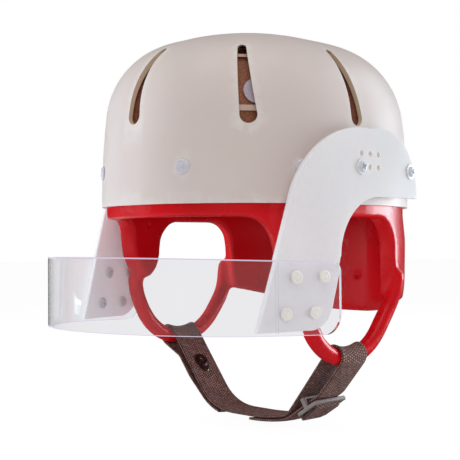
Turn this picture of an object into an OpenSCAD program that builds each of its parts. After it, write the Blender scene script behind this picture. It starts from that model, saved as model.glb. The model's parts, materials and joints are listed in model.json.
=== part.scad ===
// Hard shell helmet with a clear face bar, a dipped foam liner and a webbing chin strap.
// Millimetres. The front of the helmet faces -Y, the wearer's left is +X and Z is up.
// Z = 0 is the plane of the shell's lower rim.

/* [Shell] */
// Half width of the shell at its rim
shell_half_w = 90.5; // [84:0.5:108]
// Half length of the shell at its rim
shell_half_l = 115.5; // [106:0.5:138]
// Height of the shell above its rim
shell_h = 118.4; // [106:0.2:142]
// Wall of the shell
shell_wall = 3; // [2:0.5:4]
// Width of a vent slot at its lower end
slot_w_low = 10.8; // [8:0.2:17]
// Width of a vent slot at its upper end
slot_w_high = 5.6; // [4:0.2:9]

/* [Liner] */
// Thickness of the dipped foam liner
liner_t = 12; // [9:1:14]
// How far the brow band hangs below the rim
brow_drop = 8; // [5:1:12]
// Depth of the nape panel below the rim
nape_drop = 79; // [70:1:90]
// Thickness of the crown pads
pad_t = 12; // [9:1:14]

/* [Chin loops] */
// Radius of the loop's curve
loop_r = 43.5; // [41:0.5:46]
// Radius of the rod that a loop is made of
rod_r = 5.6; // [5:0.2:6.4]
// Distance of each loop from the middle
loop_x = 80; // [78:0.5:82]

/* [Face bar] */
// Height of the bar's strip
bar_h = 44.5; // [38:0.5:54]
// Thickness of the bar's strip
bar_t = 3; // [2:0.5:3.5]
// Thickness of the side plates
plate_t = 3; // [2:0.5:4]
// Radius of a post's head
post_head_r = 3.9; // [3.3:0.1:5]

/* [Strap] */
// Width of the webbing
web_w = 26; // [22:1:32]
// Thickness of the webbing
web_t = 1.8; // [1.6:0.1:2]

/* [Hidden] */
$fn = 48;

// small clearances
fit = 0.05;
run = 0.3;

// shell profile: a side, a shoulder and a crown arc, drawn for a rim radius of rim_r
rim_r = 102;
dome_h = 118.4;
side_r = 536;
side_c = [rim_r - side_r, 1.7];
shoulder_r = 58.35;
crown_r = 209.2;
crown_c = [0, dome_h - crown_r];
square_by = 8;
// how much taller the shell is than the profile as drawn, and how far its side and its front
// stand out from where they were when the loops, plates and temples were placed
tall_k = shell_h / dome_h;
side_out = shell_half_w - 90.5;
front_out = shell_half_l - 115.5;

// vent slots: a side slot's upper end leans towards the nearer end of the helmet
slot_low_z = 50.8;
slot_high_z = 102.4;
corner_slot_low_z = 48.4;
corner_slot_high_z = 100;
corner_slot_k = 0.908;
slot_lean = 5;

// liner
liner_top = 40;
liner_gap = 0.3;
liner_taper = 0.02;
liner_low = -96;
brow_z = -brow_drop;
ear_front_y = -27;
ear_rear_y = 45;
ear_turn = 15;
ear_corner_r = 18;
temple_edge = [73.8 + side_out, -66 - front_out];
temple_turn = 33;
temple_low_z = -48;
nape_front_z = -58;
nape_out_k = 1.11;

// crown pads, tape and discs
pad_gap = 2.2;
pad_low_z = liner_top + 0.05;
pad_high_z = 97 * tall_k;
pad_span = 84;
tape_t = 1.2;
tape_w = 3.6;
tape_high_w = 2.2;
tape_span = 46;
tape_lift = 0.12;
tape_low_z = 56.6 * tall_k;
tape_high_z = 92 * tall_k;
disc_r = 8;
disc_t = 1;
disc_z = 69 * tall_k;
disc_turn = 6;

// rivets; the two at the sides of the back give way to the plates' rear screws
rivet_z = 22.3;
rivet_head_r = 4.6;
rivet_head_h = 1.5;
rivet_lift = 0.18;
rivet_r = 2;
rivet_turns = [for (i = [0:7]) if (i != 2 && i != 5) 22.5 + 45 * i];
rivet_washer_r = 8;
rivet_washer_t = 1.2;

// plates lie on a large upright cylinder, so that they bend a little round the head
bend_r = 381;
plate_gap = 4.7;
bend_x = shell_half_w + plate_gap - bend_r;
plate_lean = 0.3085;
plate_low_z = -77;
plate_front_y = -68.2;
plate_arm_w = 50.5;
plate_front_r = 64;
plate_front_c = [-6.5, -15.5];
plate_rear_r = 44.4;
plate_rear_c = [13, 5];
plate_wing_z = 5;
plate_fillet_r = 38;

// the plate's screws and its spare adjusting holes
screw_r = 1.75;
screw_hole_r = 1.85;
screw_head_r = 3.5;
screw_head_h = 1.5;
washer_r = 5;
washer_t = 0.8;
grid_y = -7.5;
grid_z = 23.6;
grid_step = 8.5;
rear_screw = [47.5, 22.8];
spacer_r = 4.5;
tee_r = 5.5;
tee_t = 2;

// posts that hold the bar
post_step = 21.2;
post_high = [-66, -45];
post_drop = 21.6;
post_lean = 0.34;
post_head_h = 1.6;
post_r = 2.6;
post_screw_r = 1.5;
post_screw_head_r = 3.8;
post_screw_head_h = 1.4;

// bar
bar_gap = 0.08;
bar_arc_y = -64;
bar_low_z = -79.8;
bar_mid_y = -60;
bar_rise = 0.034;
bar_rear_y = -31;
bar_corner_r = 13;

// strap frame: its X axis is the line that the strap swings about
axis_y = -1;
axis_z = -53.5;
axis_x = -1.5;
loop_at = loop_x + side_out;
tilt_y = 1.8;
tilt_z = 1.45;
arm_angle = 52;
front_lean = 16;
front_arm_l = 18;
rear_run_l = 15;
rear_bend_r = 30;
rear_bend = 31;
rear_arm_l = 9;
web_c = rod_r + run + web_t / 2;
web_span = 46;
low_r = 91.2;
layer_gap = 2.4;

// snap and slider; snap_sink clears the webbing's hollow side
snap_sink = 0.25;
snap_pin_r = 1.2;
snap_base_r = 5.2;
stud_neck_r = 1.9;
stud_r = 2.3;
cap_r = 6.3;
eyelet_r = 6;
slider_l = 20;
slider_t = 2.6;
bar_w = 3.2;
rail_w = 2.6;
slider_corner = 2.4;
back_t = 1.6;
tail_l = 19;

function unit(v) = v / norm(v);
function normal2(v) = [v[1], -v[0]];

// centre of the shoulder arc, which touches the side arc and the crown arc
function shoulder_at() = let (
    a = side_r - shoulder_r,
    b = crown_r - shoulder_r,
    gap = crown_c - side_c,
    dist = norm(gap),
    along = (a * a - b * b + dist * dist) / (2 * dist),
    up = sqrt(a * a - along * along)
) side_c + gap / dist * along + [-gap[1], gap[0]] / dist * up;
shoulder_c = shoulder_at();
side_touch = side_c + unit(shoulder_c - side_c) * side_r;
crown_touch = crown_c + unit(shoulder_c - crown_c) * crown_r;

// the dome's profile down to z_low, to the right of the Z axis
module dome_profile(z_low) {
    corner = [side_touch[0] + 30, crown_touch[1] + 40];
    difference() {
        intersection() {
            translate([0, z_low])
                square([rim_r + 10, dome_h - z_low + 10]);
            translate(side_c)
                circle(side_r, $fn = 240);
            translate(crown_c)
                circle(crown_r, $fn = 180);
        }
        difference() {
            polygon([shoulder_c, side_touch, corner, crown_touch]);
            translate(shoulder_c)
                circle(shoulder_r, $fn = 72);
        }
    }
}

// a turned profile squared up in plan: four scaled quarters moved apart, with slabs between;
// z_low and z_high are the profile's ends at the axis
module squared(wide, long, tall, z_low, z_high) {
    quadrant = [[1, 1], [-1, 1], [-1, -1], [1, -1]];
    for (q = [0:3])
        translate([quadrant[q][0] * square_by, quadrant[q][1] * square_by, 0])
            scale([wide, long, tall])
                rotate([0, 0, q * 90])
                    rotate_extrude(angle = 90, $fn = 96)
                        children();
    rotate([90, 0, 0])
        squared_slab(wide, tall, z_low, z_high)
            children();
    rotate([90, 0, 90])
        squared_slab(long, tall, z_low, z_high)
            children();
}

module squared_slab(wide, tall, z_low, z_high) {
    linear_extrude(2 * square_by, center = true) {
        for (side = [0, 1])
            mirror([side, 0])
                translate([square_by, 0])
                    scale([wide, tall])
                        children();
        translate([-square_by, z_low * tall])
            square([2 * square_by, (z_high - z_low) * tall]);
    }
}

// solid dome, grown or shrunk by d from the shell's outer face
module dome(d, z_low) {
    wide = (shell_w(d) - square_by) / rim_r;
    long = (shell_l(d) - square_by) / rim_r;
    squared(wide, long, (shell_h + d) / dome_h, z_low, dome_h)
        dome_profile(z_low);
}

// half width and half length of the shell at height z on its side arc, moved by d
function side_at(z) = (side_c[0] + sqrt(side_r * side_r - pow(z - side_c[1], 2))) / rim_r;
function shell_w(d) = shell_half_w + d;
function shell_l(d) = shell_half_l + d;

// a point on the shell's outer face: turn 0 is the front, 90 the wearer's left
function ring_point(turn, d, z) = [
    sign(sin(turn)) * square_by + (shell_w(d) - square_by) * side_at(z) * sin(turn),
    -sign(cos(turn)) * square_by - (shell_l(d) - square_by) * side_at(z) * cos(turn),
    z
];
function ring_angle(turn) = atan2(cos(turn) / (shell_l(0) - square_by),
    sin(turn) / (shell_w(0) - square_by));

// puts its children on the shell's outer face, with their Z pointing outwards
module on_ring(turn, d, z) {
    translate(ring_point(turn, d, z))
        rotate([0, 0, -ring_angle(turn)])
            rotate([0, 90, 0])
                children();
}

// upright wedge used to keep one sector of a ring
module sector(from, span, z_low, z_high) {
    reach = 300;
    translate([0, 0, z_low])
        linear_extrude(z_high - z_low)
            polygon([[0, 0],
                [reach * sin(from), -reach * cos(from)],
                [reach * sin(from + span / 2) * 1.4, -reach * cos(from + span / 2) * 1.4],
                [reach * sin(from + span), -reach * cos(from + span)]]);
}

// one tapered vent slot, cut level through the wall
module slot_cutter(turn) {
    corner = turn % 90 != 0;
    low = (corner ? corner_slot_low_z : slot_low_z) * tall_k;
    high = (corner ? corner_slot_high_z : slot_high_z) * tall_k;
    r_low = slot_w_low / 2;
    r_high = slot_w_high / 2;
    lean = sin(turn) == 0 ? 0 : (sin(turn) > 0 ? -1 : 1) * (cos(turn) < -0.1 ? -1 : 1) * slot_lean;
    rotate([0, 0, turn == 0 || turn == 180 ? turn : atan2(shell_w(0) * sin(turn),
        shell_l(0) * cos(turn) * corner_slot_k)])
        rotate([90, 0, 0])
            translate([0, 0, 25])
                linear_extrude(120) {
                    translate([0, low + r_low])
                        circle(r_low);
                    translate([lean, high - r_high])
                        circle(r_high);
                    polygon([[-r_low, low + r_low], [r_low, low + r_low],
                        [lean + r_high, high - r_high], [lean - r_high, high - r_high]]);
                }
}

module outer_shell() {
    color([0.86, 0.83, 0.80])
        difference() {
            dome(0, 0);
            translate([0, 0, -1])
                dome_inner();
            for (turn = [0:45:315])
                slot_cutter(turn);
            for (turn = rivet_turns)
                on_ring(turn, 0, rivet_z)
                    cylinder(r = rivet_r + fit, h = 30, center = true);
            for (side = [1, -1])
                plate_screw_places(side)
                    cylinder(r = screw_hole_r, h = 60, center = true);
        }
}

module dome_inner() {
    translate([0, 0, 1])
        dome(-shell_wall, -2);
}

// place on a plate's inner face: Z points outwards, for one side
module on_plate(side, y, z) {
    a = asin(y / bend_r);
    mirror([side < 0 ? 1 : 0, 0, 0])
        translate([bend_x, 0, z])
            rotate([0, 0, a])
                translate([bend_r, 0, 0])
                    rotate([0, 90, 0])
                        children();
}

module plate_screw_places(side) {
    on_plate(side, grid_y, grid_z)
        children();
    on_plate(side, rear_screw[0], rear_screw[1])
        children();
}

module post_places(side) {
    for (row = [0, 1])
        for (col = [0, 1])
            on_plate(side, post_high[0] + col * post_step - row * post_drop * post_lean,
                post_high[1] - row * post_drop)
                children();
}

module bend_wall(r_in, r_out, z_low, z_high) {
    translate([bend_x, 0, z_low])
        difference() {
            cylinder(r = r_out, h = z_high - z_low, $fn = 360);
            translate([0, 0, -1])
                cylinder(r = r_in, h = z_high - z_low + 2, $fn = 360);
        }
}

// side view (Y to the right, Z up) drawn as 2D, turned to stand across X
module side_view(x_low, x_high) {
    translate([x_low, 0, 0])
        rotate([90, 0, 90])
            linear_extrude(x_high - x_low)
                children();
}

module plate_outline() {
    low_front = plate_front_y + plate_lean * plate_low_z;
    arm_top = 3.3;
    arm_top_y = plate_front_y + plate_lean * arm_top;
    rear_low = low_front + plate_arm_w - 10;
    rear_y = plate_front_y + plate_arm_w;
    corner = [rear_y + plate_lean * -59 - 18.5, -59];
    difference() {
        union() {
            intersection() {
                translate(plate_front_c)
                    circle(plate_front_r, $fn = 180);
                polygon([[arm_top_y - 8, arm_top], [plate_rear_c[0], arm_top],
                    [plate_rear_c[0], 60], [arm_top_y - 8, 60]]);
            }
            intersection() {
                translate(plate_rear_c)
                    circle(plate_rear_r, $fn = 180);
                translate([-8, plate_wing_z])
                    square([80, 60]);
            }
            polygon([[arm_top_y, arm_top + 0.4], [low_front, plate_low_z],
                [corner[0], plate_low_z], [corner[0] + 17.6, corner[1] - 5.4],
                [rear_y + plate_lean * -33, -33], [10.5, plate_wing_z], [10.5, 12], [-30, 12]]);
            translate(corner)
                circle(18.2, $fn = 120);
        }
        translate([10.5, plate_wing_z - plate_fillet_r])
            circle(plate_fillet_r, $fn = 180);
        translate([10.5, -60])
            square([80, 60 + plate_wing_z]);
    }
}

module side_plate(side) {
    color([0.84, 0.84, 0.86, 0.9])
        difference() {
            mirror([side < 0 ? 1 : 0, 0, 0])
                intersection() {
                    bend_wall(bend_r, bend_r + plate_t, -90, 60);
                    side_view(60, 120)
                        plate_outline();
                }
            plate_screw_places(side)
                cylinder(r = screw_hole_r, h = 20, center = true);
            for (col = [0:2])
                for (row = [0, 1])
                    if (col + row > 0)
                        translate([0, grid_y + col * grid_step, grid_z + row * grid_step])
                            rotate([0, 90, 0])
                                cylinder(r = screw_hole_r, h = 240, center = true);
            post_places(side)
                cylinder(r = post_r + fit, h = 20, center = true);
        }
}

module side_plate_left() { side_plate(1); }
module side_plate_right() { side_plate(-1); }

// tubes that hold a plate off the shell
module spacers(side) {
    color([0.80, 0.76, 0.72])
        difference() {
            plate_screw_places(side)
                rotate([180, 0, 0])
                    translate([0, 0, fit])
                        cylinder(r = spacer_r, h = 25);
            plate_screw_places(side)
                cylinder(r = screw_hole_r, h = 60, center = true);
            dome(fit, -5);
        }
}

module spacers_left() { spacers(1); }
module spacers_right() { spacers(-1); }

module plate_screws(side) {
    head_z = plate_t + washer_t;
    color([0.75, 0.76, 0.78])
        plate_screw_places(side)
            difference() {
                union() {
                    translate([0, 0, head_z])
                        cylinder(r = screw_head_r, h = screw_head_h - 0.6);
                    translate([0, 0, head_z + screw_head_h - 0.6])
                        cylinder(r1 = screw_head_r, r2 = screw_head_r - 0.9, h = 0.6);
                    translate([0, 0, -24])
                        cylinder(r = screw_r, h = 24 + head_z);
                }
                for (turn = [0, 90])
                    rotate([0, 0, turn])
                        translate([-2, -0.45, head_z + screw_head_h - 0.9])
                            cube([4, 0.9, 2]);
            }
}

module plate_screws_left() { plate_screws(1); }
module plate_screws_right() { plate_screws(-1); }

module screw_washers(side) {
    color([0.82, 0.83, 0.85])
        plate_screw_places(side)
            translate([0, 0, plate_t])
                difference() {
                    cylinder(r = washer_r, h = washer_t);
                    translate([0, 0, -1])
                        cylinder(r = screw_hole_r, h = washer_t + 2);
                }
}

module screw_washers_left() { screw_washers(1); }
module screw_washers_right() { screw_washers(-1); }

// flanged nuts inside the shell
module tee_body(side, grow) {
    intersection() {
        plate_screw_places(side)
            rotate([180, 0, 0])
                cylinder(r = tee_r + grow, h = 30);
        difference() {
            dome(-shell_wall - fit + grow / 10, -5);
            dome(-shell_wall - fit - tee_t - grow, -6);
        }
    }
}

module tee_nuts(side) {
    color([0.62, 0.62, 0.64])
        difference() {
            tee_body(side, 0);
            plate_screw_places(side)
                cylinder(r = screw_hole_r, h = 80, center = true);
        }
}

module tee_nuts_left() { tee_nuts(1); }
module tee_nuts_right() { tee_nuts(-1); }

// the bar's strip in plan, as a closed band of arcs
module bar_plan(r_grow) {
    arm_r = bend_r + plate_t + bar_gap + r_grow;
    front_r = arm_r - norm([bend_x, bar_arc_y]);
    intersection() {
        translate([bend_x, 0])
            circle(arm_r, $fn = 360);
        translate([-bend_x, 0])
            circle(arm_r, $fn = 360);
        union() {
            translate([-120, -80])
                square([240, 90]);
            translate([0, bar_arc_y])
                circle(front_r, $fn = 240);
        }
    }
}

module bar_side() {
    front_y = -200;
    low = function (y) bar_low_z - bar_rise * (y - bar_mid_y);
    rear_c = bar_rear_y - bar_corner_r;
    difference() {
        polygon([[front_y, low(front_y)], [bar_rear_y, low(bar_rear_y)],
            [bar_rear_y, low(bar_rear_y) + bar_h], [front_y, low(front_y) + bar_h]]);
        difference() {
            translate([rear_c, low(rear_c) - 5])
                square([bar_corner_r + 5, bar_corner_r + 5]);
            translate([rear_c, low(rear_c) + bar_corner_r])
                circle(bar_corner_r, $fn = 96);
        }
        difference() {
            translate([bar_rear_y - 6, low(bar_rear_y) + bar_h - 6])
                square([12, 12]);
            translate([bar_rear_y - 6, low(bar_rear_y) + bar_h - 6])
                circle(6, $fn = 96);
        }
    }
}

module face_bar() {
    color([0.92, 0.93, 0.96, 0.35])
        difference() {
            intersection() {
                translate([0, 0, -100])
                    linear_extrude(80)
                        difference() {
                            bar_plan(bar_t);
                            bar_plan(0);
                        }
                side_view(-120, 120)
                    bar_side();
            }
            for (side = [1, -1])
                post_places(side)
                    cylinder(r = post_r + fit, h = 20, center = true);
        }
}

module bar_posts(side) {
    color([0.96, 0.95, 0.93])
        post_places(side)
            difference() {
                union() {
                    translate([0, 0, plate_t + bar_gap + bar_t])
                        cylinder(r = post_head_r, h = post_head_h);
                    cylinder(r = post_r, h = plate_t + bar_t + 1);
                }
                translate([0, 0, -1])
                    cylinder(r = post_screw_r + fit, h = plate_t + bar_t + 1);
            }
}

module bar_posts_left() { bar_posts(1); }
module bar_posts_right() { bar_posts(-1); }

module post_screws(side) {
    color([0.35, 0.34, 0.35])
        post_places(side)
            difference() {
                union() {
                    translate([0, 0, -post_screw_head_h - fit])
                        cylinder(r = post_screw_head_r, h = post_screw_head_h);
                    translate([0, 0, -fit - 0.1])
                        cylinder(r = post_screw_r, h = plate_t + bar_t - 0.6);
                }
                translate([-4, -0.5, -post_screw_head_h - fit - 1])
                    cube([8, 1, 1.7]);
            }
}

module post_screws_left() { post_screws(1); }
module post_screws_right() { post_screws(-1); }

module rivets() {
    depth = shell_wall + liner_gap + liner_t;
    color([0.72, 0.70, 0.74])
        for (turn = rivet_turns)
            on_ring(turn, 0, rivet_z) {
                translate([0, 0, rivet_lift])
                    cylinder(r = rivet_head_r, h = 0.6);
                translate([0, 0, rivet_lift + 0.6])
                    cylinder(r1 = rivet_head_r, r2 = rivet_head_r - 1.6, h = rivet_head_h - 0.6);
                translate([0, 0, -depth - rivet_washer_t - 0.6])
                    cylinder(r = rivet_r, h = depth + rivet_washer_t + 1);
            }
}

module rivet_washers() {
    depth = shell_wall + liner_gap + liner_t;
    color([0.75, 0.75, 0.78])
        for (turn = rivet_turns)
            on_ring(turn, 0, rivet_z)
                translate([0, 0, -depth - rivet_washer_t - 0.1])
                    difference() {
                        cylinder(r = rivet_washer_r, h = rivet_washer_t);
                        translate([0, 0, -1])
                            cylinder(r = rivet_r + fit, h = rivet_washer_t + 2);
                    }
}

// draws its children on an upright plane that is turned about a point of the liner's outer
// face, and cuts from there to both sides of the wall
module wall_cut(side, at, turn, inwards) {
    mirror([side < 0 ? 1 : 0, 0, 0])
        translate([at[0], at[1], 0])
            rotate([0, 0, turn])
                side_view(-inwards, 40)
                    children();
}

// what is cut away in front of a temple, seen square to the wall; the temple's front edge is
// slanted, and its corner with the brow band is round
module face_window() {
    polygon(concat([[-110, -120], [-110, brow_z]],
        curve([-18, brow_z], [-3.5, brow_z], [-0.6, brow_z - 12], 6),
        [[2.6, -33], [8, -41.5], [15, temple_low_z], [15, -120]]));
}

// the ear opening's front part, in the side view
module ear_window() {
    r = ear_corner_r;
    translate([ear_front_y + r, brow_z - r])
        circle(r, $fn = 72);
    translate([ear_front_y + r, brow_z - r])
        square([20 - ear_front_y - r, r]);
    polygon([[ear_front_y, brow_z - r], [20, brow_z - r], [20, -120], [-58, -120],
        [-58, temple_low_z], [-39, temple_low_z], [-32.5, -42.5], [-29, -36]]);
}

// the ear opening's rear part, seen square to the wall
module ear_rear_window() {
    r = ear_corner_r;
    translate([-r, brow_z - r])
        circle(r, $fn = 72);
    translate([-r - 20, brow_z - r])
        square([20, r]);
    polygon([[-r - 20, brow_z - r], [0, brow_z - r], [3, nape_front_z], [3, -120],
        [-r - 20, -120]]);
}

// the nape panel's lower edge, which drops towards the back
module nape_window() {
    drop = nape_drop + nape_front_z;
    polygon([[ear_rear_y - 12, nape_front_z - 1], [ear_rear_y, nape_front_z - 1],
        [60, nape_front_z - 0.2 * drop], [80, nape_front_z - 0.43 * drop],
        [99, nape_front_z - 0.84 * drop], [shell_half_l + 8, nape_front_z - 1.3 * drop],
        [shell_half_l + 8, -130], [ear_rear_y - 12, -130]]);
}

// the same edge moved out to the panel's outer half, so that the edge runs level through it
module nape_outer_cut() {
    difference() {
        side_view(-150, 150)
            scale([nape_out_k, 1])
                nape_window();
        liner_solid(-shell_wall - liner_gap - liner_t / 2, 45);
    }
}

// a band between two domes
module ring_band(z_low, z_high, d_out, t) {
    intersection() {
        difference() {
            dome(d_out, (z_low - 5) / tall_k);
            dome(d_out - t, (z_low - 6) / tall_k);
        }
        translate([-150, -150, z_low])
            cube([300, 300, z_high - z_low]);
    }
}

// upright elliptical solid inside the shell, narrowing a little below the rim
module liner_solid(d, grow) {
    low_x = 1 - liner_taper;
    mid = liner_top / 2;
    squared((shell_w(d) - square_by) / 100, (shell_l(d) - square_by) / 100, 1,
        liner_low - grow, liner_top + grow)
            polygon([[0, liner_low - grow], [100 * low_x, liner_low - grow], [100, 0],
                [100 * side_at(mid), mid], [100 * side_at(liner_top), liner_top],
                [100 * side_at(liner_top), liner_top + grow], [0, liner_top + grow]]);
}

// the liner's outer half width at y, at the rim
function liner_half_w(y) = let (
    d = -shell_wall - liner_gap,
    part = (abs(y) - square_by) / (shell_l(d) - square_by)
) square_by + (shell_w(d) - square_by) * sqrt(1 - part * part);

module liner() {
    color([0.85, 0.12, 0.16])
        difference() {
            liner_solid(-shell_wall - liner_gap, 0);
            liner_solid(-shell_wall - liner_gap - liner_t, 1);
            for (side = [1, -1]) {
                wall_cut(side, temple_edge, -temple_turn, 88)
                    face_window();
                wall_cut(side, [liner_half_w(ear_rear_y), ear_rear_y], ear_turn, 30)
                    ear_rear_window();
            }
            side_view(-150, 150)
                ear_window();
            side_view(-150, 150)
                nape_window();
            nape_outer_cut();
            for (turn = rivet_turns)
                on_ring(turn, 0, rivet_z) {
                    cylinder(r = rivet_r + fit, h = 60, center = true);
                    translate([0, 0, -shell_wall - liner_gap - liner_t - 30.05])
                        cylinder(r = rivet_washer_r + 0.2, h = 30);
                }
            for (side = [1, -1]) {
                tee_body(side, 0.3);
                plate_screw_places(side)
                    cylinder(r = screw_r + 0.2, h = 60, center = true);
                loop_rod(side, fit);
            }
        }
}

// the frame that the strap and its loops are drawn in: X runs across, and a point
// at distance r from the X axis hangs at z = -r
module strap_frame() {
    translate([axis_x, axis_y, axis_z])
        rotate([0, tilt_y, tilt_z])
            children();
}

// a profile drawn as [r, x] and swept about the frame's X axis, r hanging down
module swept(span) {
    rotate([0, 90, 0])
        rotate([0, 0, -span / 2])
            rotate_extrude(angle = span, $fn = 120)
                children();
}

// a loop: the curve under the ear, a front arm that leans in, and a rear arm that turns upright
module loop_rod(side, grow) {
    r = rod_r + grow;
    run_r = r + 0.08;
    strap_frame()
        translate([side * loop_at, 0, 0]) {
            rotate([0, 90, 0])
                rotate([0, 0, -90])
                    rotate_extrude(angle = 90 + arm_angle, $fn = 96)
                        translate([loop_r, 0])
                            circle(r, $fn = 32);
            translate([0, -loop_r, 0]) {
                sphere(r = run_r + 0.08, $fn = 32);
                rotate([0, -side * front_lean, 0])
                    cylinder(r = run_r, h = front_arm_l, $fn = 32);
            }
            translate([0, loop_r * sin(arm_angle), -loop_r * cos(arm_angle)])
                rotate([-(90 - arm_angle), 0, 0]) {
                    translate([0, 0, -0.4])
                        cylinder(r = run_r, h = rear_run_l + 0.8, $fn = 32);
                    translate([0, -rear_bend_r, rear_run_l]) {
                        rotate([90, 0, 90])
                            rotate_extrude(angle = rear_bend, $fn = 96)
                                translate([rear_bend_r, 0])
                                    circle(r, $fn = 32);
                        rotate([rear_bend, 0, 0])
                            translate([0, rear_bend_r, -0.4]) {
                                cylinder(r = run_r, h = rear_arm_l, $fn = 32);
                                translate([0, 0, rear_arm_l])
                                    sphere(r = run_r + 0.08, $fn = 32);
                            }
                    }
                }
        }
}

module chin_loop_left() {
    color([0.80, 0.10, 0.14])
        loop_rod(1, 0);
}

module chin_loop_right() {
    color([0.80, 0.10, 0.14])
        loop_rod(-1, 0);
}

// crown pads of soft foam inside the shell
module crown_pad(turn) {
    color([0.45, 0.26, 0.20])
        intersection() {
            ring_band(pad_low_z, pad_high_z, -shell_wall - pad_gap, pad_t);
            sector(turn - pad_span / 2, pad_span, pad_low_z - 1, pad_high_z + 1);
        }
}

module crown_pad_front_left() { crown_pad(45); }
module crown_pad_front_right() { crown_pad(-45); }
module crown_pad_rear_left() { crown_pad(135); }
module crown_pad_rear_right() { crown_pad(-135); }

module crown_pad_top() {
    color([0.48, 0.28, 0.21])
        difference() {
            intersection() {
                dome(-shell_wall - pad_gap, 0);
                translate([-150, -150, pad_high_z + fit])
                    cube([300, 300, 40]);
            }
            dome(-shell_wall - pad_gap - pad_t, -1);
        }
}

// a ring of tape in four lengths, one behind each corner slot
module tape_ring(z, w) {
    color([0.82, 0.80, 0.78])
        intersection() {
            ring_band(z, z + w, -shell_wall - pad_gap + tape_t + tape_lift, tape_t);
            for (turn = [45:90:315])
                sector(turn - tape_span / 2, tape_span, z - 1, z + w + 1);
        }
}

module tape_ring_lower() { tape_ring(tape_low_z, tape_w); }
module tape_ring_upper() { tape_ring(tape_high_z, tape_high_w); }

// flat discs stuck on the pads, square to the shoulder's slope
module pad_discs() {
    d = -shell_wall - pad_gap;
    wide = (shell_w(d) - square_by) / rim_r;
    long = (shell_l(d) - square_by) / rim_r;
    tall = (shell_h + d) / dome_h;
    rise = disc_z / tall - shoulder_c[1];
    out = sqrt(shoulder_r * shoulder_r - rise * rise);
    reach = shoulder_c[0] + out;
    color([0.80, 0.78, 0.84])
        for (turn = [45 + disc_turn:90:315 + disc_turn]) {
            face = [out / wide * sin(turn), -out / long * cos(turn)];
            translate([sign(sin(turn)) * square_by + wide * reach * sin(turn),
                -sign(cos(turn)) * square_by - long * reach * cos(turn), disc_z])
                rotate([0, atan2(norm(face), rise / tall), atan2(face[1], face[0])])
                    translate([0, 0, fit])
                        cylinder(r = disc_r, h = disc_t);
        }
}

// one side of a band that follows [r, x] points, d away from them, with mitred corners
function band_side(p, d) = [for (i = [0:len(p) - 1]) let (
    u = unit(p[min(i + 1, len(p) - 1)] - p[min(i, len(p) - 2)]),
    v = unit(p[max(i, 1)] - p[max(i - 1, 0)]),
    a = normal2(u),
    b = normal2(v)
) p[i] + (a + b) / (1 + a * b) * d];

module ribbon(points, t) {
    left = band_side(points, t / 2);
    right = band_side(points, -t / 2);
    polygon(concat(left, [for (i = [len(points) - 1:-1:0]) right[i]]));
}

function curve(a, b, c, n) = [for (i = [0:n]) let (u = i / n)
    (1 - u) * (1 - u) * a + 2 * u * (1 - u) * b + u * u * c];

// points round a loop's rod, from one angle to another; 0 is away from the axis
function round_rod(x, from, to, n) = [for (i = [0:n]) let (a = from + (to - from) * i / n)
    [loop_r + web_c * cos(a), x + web_c * sin(a)]];

// where a straight run from point p meets the rod at x; turn is 1 or -1
function leave(p, x, turn) = let (d = p - [loop_r, x])
    atan2(d[1], d[0]) + turn * acos(web_c / norm(d));

// the same points moved outwards, away from the wearer, by d
function outset(p, i, d) = let (
    a = p[max(0, i - 1)],
    b = p[min(len(p) - 1, i + 1)],
    u = unit(b - a)
) p[i] + [u[1], -u[0]] * d;

// straight parts of the inner layer: the snap's on the right, the slider's on the left
snap_end = [low_r - 17.2, -45.8 - side_out];
slide_low = [low_r - 5.8, 41.1 + side_out];
slide_high = [low_r - 24.2, 67 + side_out];
snap_leave = leave(snap_end, -loop_at, 1);
snap_start = [loop_r + web_c * cos(snap_leave), -loop_at + web_c * sin(snap_leave)];
snap_dir = unit(snap_end - snap_start);
snap_mid = snap_start + snap_dir * 28.5;
slide_dir = unit(slide_high - slide_low);
slide_mid = slide_low + slide_dir * 20;

right_bend = curve(snap_end + snap_dir * 4, [low_r + 1, -31.5 - side_out], [low_r, -9], 6);
left_bend = curve([low_r - 0.3, 6], [low_r - 1.2, 31.5 + side_out], slide_low, 5);
// the outer layer on the left comes back down through the slider
return_high = slide_high + [slide_dir[1], -slide_dir[0]] * layer_gap;
strap_run = concat(
    round_rod(-loop_at, 270, snap_leave, 10),
    [snap_end],
    right_bend,
    left_bend,
    round_rod(loop_at, leave(slide_high, loop_at, -1), leave(return_high, loop_at, 1) - 360, 13),
    [return_high],
    [for (i = [5:-1:0]) outset(left_bend, i, layer_gap)]
);

// the outer layer on the right is the tab that the snap holds
tab_lift = 5.2;
tab_line = [for (s = [-9, 9]) snap_mid + snap_dir * s + [snap_dir[1], -snap_dir[0]] * tab_lift];
tab_leave = leave(tab_line[0], -loop_at, -1);
outer_run = concat(
    round_rod(-loop_at, -84, tab_leave, 4),
    tab_line,
    [for (i = [1:4]) outset(right_bend, i, layer_gap + 0.4)]
);

module web(points, span, w) {
    intersection() {
        strap_frame()
            swept(span)
                ribbon(points, web_t);
        strap_frame()
            translate([-loop_at - 30, -w / 2, -130])
                cube([2 * loop_at + 60, w, 130]);
    }
}

// stands at a point of the webbing: Z points away from the wearer and X back along it
module at_web(p, dir) {
    strap_frame()
        translate([p[1], 0, -p[0]])
            rotate([0, atan2(-dir[0], -dir[1]), 0])
                children();
}

module chin_strap() {
    color([0.30, 0.20, 0.17])
        difference() {
            web(strap_run, web_span, web_w);
            at_web(snap_mid, snap_dir)
                cylinder(r = snap_pin_r + fit, h = 4, center = true);
        }
}

module strap_tab() {
    color([0.30, 0.20, 0.17])
        difference() {
            web(outer_run, web_span, web_w);
            at_web(snap_mid, snap_dir)
                translate([0, 0, tab_lift - 2])
                    cylinder(r = snap_pin_r + fit, h = 4);
        }
}

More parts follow.
